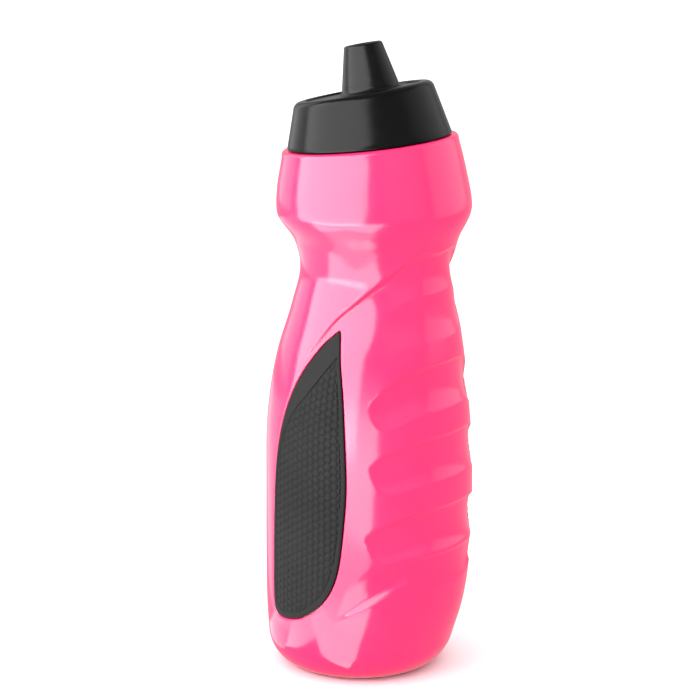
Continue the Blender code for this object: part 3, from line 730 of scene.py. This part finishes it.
def make_body():
    skin = Skin()
    columns = COLUMNS
    step = 360.0 / columns
    angles = np.arange(columns) * step
    angles = np.where(angles > 180.0, angles - 360.0, angles)
    low = math.ceil(WINDOW_ANGLES[0] / step)
    high = math.floor(WINDOW_ANGLES[1] / step)
    window = set(range(low, high)) | {columns - 1 - i for i in range(low, high)}

    # the foot: a hollow middle, then the flat ring the bottle stands on
    foot = []
    for part in np.linspace(0.0, 1.0, FOOT_ROWS)[1:]:
        height = PUSH_UP * (1.0 - smoothstep(PUSH_UP_LEVEL, 1.0, part))
        foot.append(ring_points(FOOT_INNER_RADIUS * part, height, columns, None, BASE_OFFSET))
    foot.append(ring_points(BASE_RADIUS, 0.0, columns, None, BASE_OFFSET))
    starts = skin.rings(foot)
    skin.cap(starts[0], columns, (BASE_OFFSET, 0.0, PUSH_UP))
    previous = starts[-1]
    for height in row_heights():
        start = skin.add(body_points(angles, height))
        in_window = WINDOW_HEIGHTS[0] + 1e-6 < height < WINDOW_HEIGHTS[1] + 1e-6
        skin.join(previous, start, columns, window if in_window else ())
        previous = start

    # the lip's round edge, the shoulder's flat top and the threaded neck
    edge = []
    for turn in np.linspace(0.0, math.pi / 2, LIP_ROWS)[1:]:
        radius = LIP[1] - SHOULDER_ROUND * (1.0 - math.cos(turn))
        edge.append((radius, SHOULDER_FACE - SHOULDER_ROUND * (1.0 - math.sin(turn))))
    edge.append((SHOULDER_ROW, SHOULDER_FACE))
    edge += [(NECK_RADIUS + out, SHOULDER_FACE + up) for out, up in NECK_FOOT]
    rings = [ring_points(radius, height, columns, LID_FRAME) for radius, height in edge]
    above, below = NECK_THREAD_ROWS
    for height in np.arange(SHOULDER_FACE + above, NECK_TOP - below, THREAD_ROW):
        bead = helix_bead(columns, height, 0.0, NECK_THREAD_TURNS, 0.0)
        rings.append(ring_points(NECK_RADIUS + bead, height, columns, LID_FRAME))
    rim = (
        (NECK_RADIUS, NECK_TOP - NECK_EDGE),
        (NECK_RADIUS - NECK_EDGE_SAG, NECK_TOP - NECK_EDGE_SAG),
        (NECK_RADIUS - NECK_EDGE, NECK_TOP),
        (NECK_BORE + NECK_EDGE, NECK_TOP),
        (NECK_BORE + NECK_EDGE_SAG, NECK_TOP - NECK_EDGE_SAG),
        (NECK_BORE, NECK_TOP - NECK_EDGE),
        *NECK_UNDERSIDE,
    )
    rings += [ring_points(radius, height, columns, LID_FRAME) for radius, height in rim]

    # the inside wall, down to the floor, thicker inwards behind the grips
    turn, rise = POCKET_BLEND
    near, far = POCKET_ANGLES
    foot, tip = POCKET_HEIGHTS
    flat = np.abs(angles)
    across = smoothstep(near - turn, near, flat) * (1.0 - smoothstep(far, far + turn, flat))
    upper = np.linspace(LIP[0] - CAVITY_TOP, WAIST[0] + CAVITY_WAIST, CAVITY_UPPER_ROWS)
    lower = np.arange(WAIST[0], HEEL[0] + CAVITY_HEEL, -CAVITY_ROW)
    for height in (*upper, *lower, HEEL[0], HEEL[0] * CAVITY_HEEL_PART):
        along = smoothstep(foot - rise, foot, height) * (1.0 - smoothstep(tip, tip + rise, height))
        inward = WALL + (GRIP_THICKNESS + GAP + GRIP_WALL - WALL) * across * along
        rings.append(body_points(angles, height, inward))
    rings += [ring_points(r, height, columns, None, BASE_OFFSET) for r, height in CAVITY_FLOOR]
    for ring in rings:
        start = skin.add(ring)
        skin.join(previous, start, columns)
        previous = start
    skin.cap(previous, columns, (BASE_OFFSET, 0.0, PUSH_UP + WALL))

    for side in (1.0, -1.0):
        points, faces = pocket_window(side)
        start = skin.add(points)
        skin.faces += [tuple(start + i for i in face) for face in faces]
    body = new_object("bottle_shell", skin.points(), skin.faces, PINK, BODY_SHARP)
    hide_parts("bottle_body")
    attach(body, "root")
    return body


# ============ grips ============
def clipped(centre, planes):
    """The convex polygon round a centre that lies inside every plane (normal, distance)."""
    far = SCALE_REACH
    corners = [(-far, -far), (far, -far), (far, far), (-far, far)]
    polygon = [np.array(centre) + np.array(corner) for corner in corners]
    for normal, limit in planes:
        kept = []
        for a, b in zip(polygon, polygon[1:] + polygon[:1]):
            da, db = normal @ a - limit, normal @ b - limit
            if da <= 0.0:
                kept.append(a)
            if da * db < 0.0:
                kept.append(a + (b - a) * da / (da - db))
        polygon = kept
        if len(polygon) < 3:
            return []
    return polygon


def area(polygon):
    p = np.array(polygon)
    q = np.roll(p, -1, axis=0)
    return abs(float(np.sum(p[:, 0] * q[:, 1] - q[:, 0] * p[:, 1]))) / 2


def scale_cells(field):
    """Every hexagonal scale inside the field, as its centre and the planes that bound it."""
    edges = list(zip(field, np.roll(field, -1, axis=0)))
    middles = np.array([(a + b) / 2 for a, b in edges])
    normals = []
    for a, b in edges:
        along = (b - a) / np.linalg.norm(b - a)
        normals.append(np.array((-along[1], along[0])))
    column = SCALE_PITCH * math.sqrt(3.0) / 2.0
    low, high = field.min(axis=0), field.max(axis=0)
    cells = []
    for i in range(int((high[0] - low[0]) / column) + 2):
        for j in range(int((high[1] - low[1]) / SCALE_PITCH) + 2):
            centre = low + np.array((i * column, (j + (i % 2) / 2.0) * SCALE_PITCH))
            planes = []
            for k in range(6):
                turn = math.radians(30.0 + 60.0 * k)
                normal = np.array((math.cos(turn), math.sin(turn)))
                planes.append((normal, float(normal @ centre) + SCALE_PITCH / 2.0))
            near = np.linalg.norm(middles - centre, axis=1) < SCALE_PITCH * SCALE_EDGE_REACH
            planes += [(normals[n], float(normals[n] @ middles[n])) for n in np.flatnonzero(near)]
            cells.append((centre, planes))
    return cells


def grip_top():
    """The grip's outer face: a plain rounded rim round a field of raised hexagonal scales."""
    outline = flat_outline(GRIP_OUTLINE, GRIP_OUTLINE_POINTS)
    field = flat_outline(SCALE_FIELD, FIELD_OUTLINE_POINTS)
    points, depth, loops = [], [], []

    def loop_at(ring, deep):
        start = len(points)
        points.extend(tuple(p) for p in ring)
        depth.extend([deep] * len(ring))
        loops.append(list(range(start, start + len(ring))))

    for base, edge in ((outline, GRIP_RIM), (field, FIELD_EDGE)):
        for grow, deep in edge:
            loop_at(offset_loop(base, grow) if grow else base, deep)
    full = SCALE_FULL * SCALE_PITCH**2
    least_foot, least_ring = SCALE_LEAST
    inside_field = offset_loop(field, -FIELD_INSET)
    for centre, planes in scale_cells(inside_field):
        if signed_distance(centre[None, :], inside_field)[0] > SCALE_PITCH * SCALE_OUTSIDE:
            continue
        base = clipped(centre, [(n, d - SCALE_PROFILE[0][0]) for n, d in planes])
        if len(base) < 3 or area(base) < full * least_foot:
            continue
        for inset, deep in SCALE_PROFILE:
            polygon = clipped(centre, [(n, d - inset) for n, d in planes])
            if len(polygon) >= 3 and area(polygon) > full * least_ring:
                loop_at(polygon, deep)
        middle = np.mean(np.array(base), axis=0)
        points.append(tuple(middle))
        depth.append(SCALE_CROWN)
    extra = grid_between(outline.min(axis=0), outline.max(axis=0), GRIP_SPACING)
    from_outline, from_field = GRIP_MARGINS
    in_rim = signed_distance(extra, outline) < -from_outline
    in_rim &= signed_distance(extra, field) > from_field
    for p in extra[in_rim]:
        points.append(tuple(p))
        depth.append(0.0)
    return points, depth, loops, outline


def faces_inside(where, faces, outline):
    """The triangles whose middle lies inside the outline."""
    middles = np.array([where[list(face)].mean(axis=0) for face in faces])
    inside = signed_distance(middles, outline) < 0.0
    return [face for face, kept in zip(faces, inside) if kept]


def make_grips():
    points, depth, loops, outline = grip_top()
    where, faces, origin = triangulate(points, loops)
    depth = np.array([depth[o[0]] if o else SCALE_RELIEF for o in origin])
    top_faces = faces_inside(where, faces, outline)

    back_points = [tuple(p) for p in outline]
    grid = grid_between(outline.min(axis=0), outline.max(axis=0), BACK_SPACING)
    grid = grid[signed_distance(grid, outline) < -BACK_MARGIN]
    back_points += [tuple(p) for p in grid]
    back_where, back_faces, _ = triangulate(back_points, [list(range(len(outline)))])
    back_faces = faces_inside(back_where, back_faces, outline)

    for side, label in ((1.0, "left"), (-1.0, "right")):
        skin = Skin()
        top = skin.add(body_points(side * where[:, 0] / ARC, where[:, 1], depth))
        skin.faces += [tuple(top + i for i in face) for face in top_faces]
        count = len(outline)
        upper = skin.add(body_points(side * outline[:, 0] / ARC, outline[:, 1], GRIP_RIM[0][1]))
        lower = skin.add(body_points(side * outline[:, 0] / ARC, outline[:, 1], GRIP_THICKNESS))
        skin.join(upper, lower, count)
        back = skin.add(body_points(side * back_where[:, 0] / ARC, back_where[:, 1], GRIP_THICKNESS))
        skin.faces += [tuple(back + i for i in face) for face in back_faces]
        pad = new_object(f"grip_{label}", skin.points(), skin.faces, GRIP, GRIP_SHARP)
        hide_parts(f"grip_pad_{label}")
        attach(pad, "root")


# ============ lid and spout ============
def arc(centre, radius, start, end, steps):
    """Points (radius from the axis, height) on a round corner; angles in degrees."""
    turns = np.radians(np.linspace(start, end, steps))
    return [(centre[0] + radius * math.cos(t), centre[1] + radius * math.sin(t)) for t in turns]


def make_lid():
    columns = LID_COLUMNS
    cone = (LID_RADIUS - LID_TOP_RADIUS) / LID_HEIGHT
    slope = math.degrees(math.atan(cone))
    corner = (LID_TOP_RADIUS - LID_EDGE * LID_EDGE_DRAW, -LID_EDGE)
    tilted = [(DISH_RADIUS, -DISH_DEPTH)]
    tilted += arc((DISH_RADIUS + RIM_EDGE, -RIM_EDGE), RIM_EDGE, 180.0, 90.0, SMALL_ROUND_ROWS)
    tilted += arc(corner, LID_EDGE, 90.0, slope, LID_EDGE_ROWS)
    rings = [ring_points(radius, height, columns, TOP_FRAME) for radius, height in tilted]
    foot = ring_points(LID_RADIUS, LID_FOOT_ROUND, columns, LID_FRAME)
    shoulder = rings[-1]
    rings += [shoulder + (foot - shoulder) * t for t in np.linspace(0.0, 1.0, LID_SIDE_ROWS)[1:]]
    root = LID_RADIUS - LID_WALL - cone * COLLAR_WALL_ROOT
    level = [
        (LID_RADIUS - LID_FOOT_SAG, LID_FOOT_SAG),
        (LID_RADIUS - LID_FOOT_ROUND, 0.0),
        (LID_RADIUS - LID_WALL, 0.0),
        (root, COLLAR_WALL_ROOT),
        (COLLAR_WALL_OUTER, COLLAR_WALL_ROOT),
        (COLLAR_WALL_OUTER, COLLAR_WALL_FOOT),
        (COLLAR_WALL_INNER + COLLAR_CHAMFER, COLLAR_WALL_FOOT),
    ]
    rings += [ring_points(radius, height, columns, LID_FRAME) for radius, height in level]
    start, stop = COLLAR_WALL_FOOT + COLLAR_CHAMFER, PLATE_BOTTOM - COLLAR_ROWS_STOP
    for height in np.arange(start, stop, THREAD_ROW):
        bead = helix_bead(columns, height, LID_THREAD_FROM, LID_THREAD_TURNS, LID_THREAD_DROP)
        rings.append(ring_points(COLLAR_WALL_INNER - bead, height, columns, LID_FRAME))
    rings.append(ring_points(COLLAR_WALL_INNER, PLATE_BOTTOM, columns, LID_FRAME))

    # the spout's hole runs square to the tilted top, down to the level underside
    hole_top = ring_points(SPOUT_HOLE, -DISH_DEPTH, columns, TOP_FRAME, SPOUT_X)
    lid_up = np.array(LID_FRAME.to_3x3().col[2])
    top_up = np.array(TOP_FRAME.to_3x3().col[2])
    above = (hole_top - np.array(LID_FRAME.translation)) @ lid_up - PLATE_BOTTOM
    rings.append(hole_top - (above / (top_up @ lid_up))[:, None] * top_up)
    rings.append(hole_top)
    skin = Skin()
    skin.rings(rings, closed=True)
    lid = new_object("lid_cap", skin.points(), skin.faces, LID, LID_SHARP)
    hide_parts("lid_shell")
    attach(lid, "lid")


def make_spout():
    columns = ROUND_COLUMNS
    profile = [
        (SPOUT_COLLAR - SPOUT_COLLAR_TAPER, SPOUT_COLLAR_END, 0.0),
        (SPOUT_BEAD, SPOUT_BEAD_TOP - SPOUT_BEAD_HEIGHT, 0.0),
        (SPOUT_BEAD, SPOUT_BEAD_TOP, 0.0),
        (SPOUT_COLLAR, SPOUT_BEAD_TOP, 0.0),
        (SPOUT_COLLAR, 0.0, 0.0),
        (SPOUT_FLANGE, 0.0, -SPOUT_X),
        (SPOUT_FLANGE, SPOUT_FLANGE_TOP - SPOUT_FLANGE_ROUND, -SPOUT_X),
        (SPOUT_FLANGE - SPOUT_FLANGE_SAG, SPOUT_FLANGE_TOP - SPOUT_FLANGE_SAG, -SPOUT_X),
        (SPOUT_FLANGE - SPOUT_FLANGE_ROUND, SPOUT_FLANGE_TOP, -SPOUT_X),
        (SPOUT_FLANGE - SPOUT_DECK_ROW, SPOUT_FLANGE_TOP, -SPOUT_X * SPOUT_DECK_OFFSET),
    ]
    for i in range(SPOUT_FILLET_STEPS):
        turn = 0.5 * math.pi * i / SPOUT_FILLET_STEPS
        radius = SPOUT_ROOT_RADIUS + SPOUT_FILLET * (1.0 - math.sin(turn))
        profile.append((radius, SPOUT_FLANGE_TOP + SPOUT_FILLET * (1.0 - math.cos(turn)), 0.0))
    root = SPOUT_FLANGE_TOP + SPOUT_FILLET
    cone = (SPOUT_ROOT_RADIUS - SPOUT_TOP_RADIUS) / (SPOUT_TOP - root)
    for t in np.linspace(0.0, 1.0, SPOUT_ROWS):
        height = root + (SPOUT_TOP - SPOUT_EDGE - root) * t
        profile.append((SPOUT_ROOT_RADIUS - cone * (height - root), height, 0.0))
    corner = (profile[-1][0] - SPOUT_EDGE, SPOUT_TOP - SPOUT_EDGE)
    crown = arc(corner, SPOUT_EDGE, math.degrees(math.atan(cone)), 90.0, SPOUT_EDGE_ROWS)[1:]
    corner = (SPOUT_MOUTH + SPOUT_MOUTH_ROUND, SPOUT_TOP - SPOUT_MOUTH_ROUND)
    crown += arc(corner, SPOUT_MOUTH_ROUND, 90.0, 180.0, SMALL_ROUND_ROWS)
    crown += [(SPOUT_MOUTH, SPOUT_SEAT), (SPOUT_BORE, SPOUT_SEAT), (SPOUT_BORE, SPOUT_COLLAR_END)]
    profile += [(radius, height, 0.0) for radius, height in crown]
    rings = [ring_points(radius, height, columns, SPOUT_FRAME, x) for radius, height, x in profile]
    skin = Skin()
    skin.rings(rings, closed=True)
    spout = new_object("drinking_spout", skin.points(), skin.faces, SPOUT, LID_SHARP)
    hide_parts("spout")
    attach(spout, "lid")


def make_valve():
    """A dished silicone disc, with two crossed slits pressed almost through it."""
    columns = VALVE_COLUMNS
    top = SPOUT_SEAT - GAP
    bottom = top - VALVE_THICKNESS
    inner = VALVE_RADIUS - VALVE_RIM
    cut_above, cut_below = SLIT_DEPTHS
    turn = 2.0 * math.pi * np.arange(columns) / columns
    across = np.minimum(np.abs(np.sin(turn - math.pi / 4)), np.abs(np.sin(turn + math.pi / 4)))

    def face(radius, height, dish, slit):
        sunk = dish * (1.0 - smoothstep(0.0, inner, radius))
        away = radius * across / (SLIT_WIDTH / 2.0)
        open_here = 1.0 - smoothstep(SLIT_LENGTH / 2.0 - SLIT_END, SLIT_LENGTH / 2.0, radius)
        return height - sunk - slit * open_here * (1.0 - smoothstep(SLIT_FLOOR, 1.0, away))

    rings = []
    for radius in np.linspace(VALVE_MIDDLE, inner, VALVE_ROWS):
        upper = face(radius, top, VALVE_DISH, cut_above)
        rings.append(ring_points(radius, upper, columns, SPOUT_FRAME))
    rim = (
        (VALVE_RADIUS - VALVE_ROUND, top),
        (VALVE_RADIUS, top - VALVE_ROUND),
        (VALVE_RADIUS, bottom + VALVE_ROUND),
        (VALVE_RADIUS - VALVE_ROUND, bottom),
    )
    rings += [ring_points(radius, height, columns, SPOUT_FRAME) for radius, height in rim]
    for radius in np.linspace(inner, VALVE_MIDDLE, VALVE_ROWS):
        lower = face(radius, bottom, VALVE_DISH * VALVE_UNDER_DISH, cut_below)
        rings.append(ring_points(radius, lower, columns, SPOUT_FRAME))
    skin = Skin()
    starts = skin.rings(rings)
    for start, level in ((starts[0], top - VALVE_DISH - cut_above), (starts[-1], bottom)):
        skin.cap(start, columns, tuple(SPOUT_FRAME @ Vector((0.0, 0.0, level))))
    valve = new_object("cross_slit_valve", skin.points(), skin.faces, VALVE, LID_SHARP)
    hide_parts("slit_valve")
    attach(valve, "lid")


def make_ring(name, node, inner, outer, bottom, top, place, finish, body):
    """A round-edged ring that stands for one of the frame's own rings."""
    edge = RING_ROUND
    corners = (
        (outer - edge, top - edge, 90.0),
        (outer - edge, bottom + edge, 0.0),
        (inner + edge, bottom + edge, -90.0),
        (inner + edge, top - edge, -180.0),
    )
    profile = []
    for radius, height, turn in corners:
        profile += arc((radius, height), edge, turn, turn - 90.0, SMALL_ROUND_ROWS)
    skin = Skin()
    skin.rings([ring_points(r, h, ROUND_COLUMNS, place) for r, h in profile], closed=True)
    made = new_object(name, skin.points(), skin.faces, finish, RING_SHARP)
    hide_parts(node)
    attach(made, body)


def make_rings():
    top = SPOUT_SEAT - 2.0 * GAP - VALVE_THICKNESS
    bottom = top - RETAINER_HEIGHT
    sizes = (RETAINER_BORE, VALVE_RADIUS, bottom, top)
    make_ring("retaining_ring", "valve_retainer", *sizes, SPOUT_FRAME, RETAINER, "lid")
    sizes = (GASKET_INNER, GASKET_OUTER, NECK_TOP + GAP, PLATE_BOTTOM - GAP)
    make_ring("sealing_ring", "lid_gasket", *sizes, LID_FRAME, GASKET, "lid_lifter")


# ============ stage ============
def area_light(name, place, target, size, radiance):
    """A rectangular light that looks equally bright from wherever its face is seen."""
    data = bpy.data.lights.new(name, "AREA")
    data.shape = "RECTANGLE"
    data.size, data.size_y = size
    data.energy = radiance * math.pi * size[0] * size[1]
    made = bpy.data.objects.new(name, data)
    made.location = place
    direction = Vector(target) - Vector(place)
    made.rotation_euler = direction.to_track_quat("-Z", "Y").to_euler()
    bpy.context.scene.collection.objects.link(made)
    return made


HORIZON_LIGHT = 0.75
ZENITH_LIGHT = 2.1
LIGHT_IN_REFLECTIONS = 0.5
# name, place from the camera (azimuth, distance, height), size, radiance, spread in degrees
GLOSS_PANELS = (
    ("softbox", (-56.0, 0.62, 0.40), (1.48, 1.05), 8.0, 180.0),
    ("back_fill", (-130.0, 0.80, 0.35), (0.60, 0.70), 1.3, 180.0),
    ("front_fill", (38.0, 0.90, 0.42), (0.90, 0.60), 0.16, 110.0),
    ("side_fill", (105.0, 0.80, 0.42), (1.10, 0.80), 0.45, 110.0),
)
GLOW_TURN = 13.3  # the sheets run this far to the right of the camera
# name, start and end along that line, near and far side to the left of it, radiance
GLOW_SHEETS = (
    ("glow_front", (0.18, 1.30), (0.044, 0.90), 7.2),
    ("glow_left", (0.00, 0.18), (0.180, 0.90), 7.2),
    ("glow_behind", (-0.50, 0.00), (0.060, 0.90), 1.0),
    ("glow_heel_front", (0.050, 0.084), (0.015, 0.046), 7.2),
    ("glow_heel_corner", (0.028, 0.050), (0.015, 0.078), 6.6),
    ("glow_heel_side", (0.050, 0.070), (0.046, 0.078), 5.0),
    ("glow_heel_left", (0.000, 0.028), (0.046, 0.085), 4.6),
    ("glow_heel_behind", (-0.040, 0.000), (0.040, 0.100), 1.4),
    ("glow_gap_front", (0.084, 0.180), (0.030, 0.180), 3.8),
    ("glow_gap_side", (0.070, 0.084), (0.046, 0.180), 3.8),
    ("glow_gap_corner", (0.028, 0.070), (0.078, 0.180), 3.6),
    ("glow_gap_left", (0.000, 0.028), (0.085, 0.180), 3.0),
)
CAMERA_AZIMUTH = 38.0
CAMERA_ELEVATION = 15.1
CAMERA_DISTANCE = 1.2585
CAMERA_LENS = 177.9
CAMERA_TARGET = Vector((0.0, 0.0, 0.1151))
CAMERA_NUDGE = (-0.00693, 0.00338)  # right and up
CAMERA_CLIP = (0.01, 20.0)
LIGHT_TARGET = Vector((0.0, 0.0, 0.12))
KEY_PLACE = (-60.0, 1.0, 0.60)
KEY_SIZE = (0.9, 0.9)
KEY_RADIANCE = 3.4
GLOW_HEIGHT = 0.002
FLOOR_RADIUS = 6.0
FLOOR_SEGMENTS = 96
FLOOR_COLOUR = (0.84, 0.84, 0.84, 1.0)


def from_camera(azimuth, distance, height):
    """A place round the bottle: azimuth 0 is towards the camera and 90 to its right."""
    turn = math.radians(CAMERA_AZIMUTH + azimuth)
    return Vector((math.sin(turn) * distance, -math.cos(turn) * distance, height))


def make_camera():
    a, e = math.radians(CAMERA_AZIMUTH), math.radians(CAMERA_ELEVATION)
    back = Vector((math.sin(a) * math.cos(e), -math.cos(a) * math.cos(e), math.sin(e)))
    right = Vector((math.cos(a), math.sin(a), 0.0))
    up = back.cross(right)
    target = CAMERA_TARGET + right * CAMERA_NUDGE[0] + up * CAMERA_NUDGE[1]
    data = bpy.data.cameras.new("camera")
    data.lens = CAMERA_LENS
    data.sensor_width = 36.0
    data.clip_start, data.clip_end = CAMERA_CLIP
    camera = bpy.data.objects.new("camera", data)
    camera.location = target + back * CAMERA_DISTANCE
    camera.rotation_euler = (-back).to_track_quat("-Z", "Y").to_euler()
    bpy.context.scene.collection.objects.link(camera)
    bpy.context.scene.camera = camera


def make_stage():
    bm = bmesh.new()
    bmesh.ops.create_circle(bm, cap_ends=True, segments=FLOOR_SEGMENTS, radius=FLOOR_RADIUS)
    mesh = bpy.data.meshes.new("floor")
    bm.to_mesh(mesh)
    bm.free()
    floor = bpy.data.objects.new("floor", mesh)
    bpy.context.scene.collection.objects.link(floor)
    made, tree, shader = shader_tree("floor_pale")
    shader.inputs["Base Color"].default_value = FLOOR_COLOUR
    shader.inputs["Roughness"].default_value = 0.9
    shader.inputs["Specular IOR Level"].default_value = 0.1
    mesh.materials.append(made)
    floor.visible_glossy = False

    world = bpy.data.worlds.new("studio")
    world.use_nodes = True
    tree = world.node_tree
    background = tree.nodes["Background"]
    coords = tree.nodes.new("ShaderNodeTexCoord")
    height = tree.nodes.new("ShaderNodeSeparateXYZ")
    tree.links.new(coords.outputs["Generated"], height.inputs["Vector"])
    sky = tree.nodes.new("ShaderNodeMapRange")
    sky.inputs["To Min"].default_value = HORIZON_LIGHT
    sky.inputs["To Max"].default_value = ZENITH_LIGHT
    tree.links.new(height.outputs["Z"], sky.inputs["Value"])
    path = tree.nodes.new("ShaderNodeLightPath")
    level = tree.nodes.new("ShaderNodeMapRange")
    tree.links.new(path.outputs["Is Glossy Ray"], level.inputs["Value"])
    tree.links.new(sky.outputs["Result"], level.inputs["To Min"])
    level.inputs["To Max"].default_value = LIGHT_IN_REFLECTIONS
    seen = tree.nodes.new("ShaderNodeMath")
    seen.operation = "MAXIMUM"
    tree.links.new(level.outputs["Result"], seen.inputs[0])
    tree.links.new(path.outputs["Is Camera Ray"], seen.inputs[1])
    tree.links.new(seen.outputs["Value"], background.inputs["Strength"])
    background.inputs["Color"].default_value = (1.0, 1.0, 1.0, 1.0)
    bpy.context.scene.world = world

    for name, place, size, radiance, spread_angle in GLOSS_PANELS:
        panel = area_light(name, from_camera(*place), LIGHT_TARGET, size, radiance)
        panel.data.spread = math.radians(spread_angle)
        panel.visible_diffuse = False
    key = area_light("key", from_camera(*KEY_PLACE), LIGHT_TARGET, KEY_SIZE, KEY_RADIANCE)
    key.visible_glossy = False

    # sheets of light lying round the bottle's left side, seen only in the bottle's gloss
    along = from_camera(GLOW_TURN, 1.0, 0.0)
    across = from_camera(GLOW_TURN - 90.0, 1.0, 0.0)
    for name, (start, end), (near, far), radiance in GLOW_SHEETS:
        middle = along * (start + end) / 2.0 + across * (near + far) / 2.0
        middle.z = GLOW_HEIGHT
        above = middle + Vector((0.0, 0.0, 1.0))
        glow = area_light(name, middle, above, (far - near, end - start), radiance)
        glow.rotation_euler = (math.pi, 0.0, math.radians(CAMERA_AZIMUTH + GLOW_TURN))
        glow.visible_diffuse = False
        glow.visible_camera = False
    bpy.context.scene.view_settings.view_transform = "Standard"
    bpy.context.scene.view_settings.look = "None"


make_body()
make_grips()
make_lid()
make_spout()
make_valve()
make_rings()
make_camera()
make_stage()
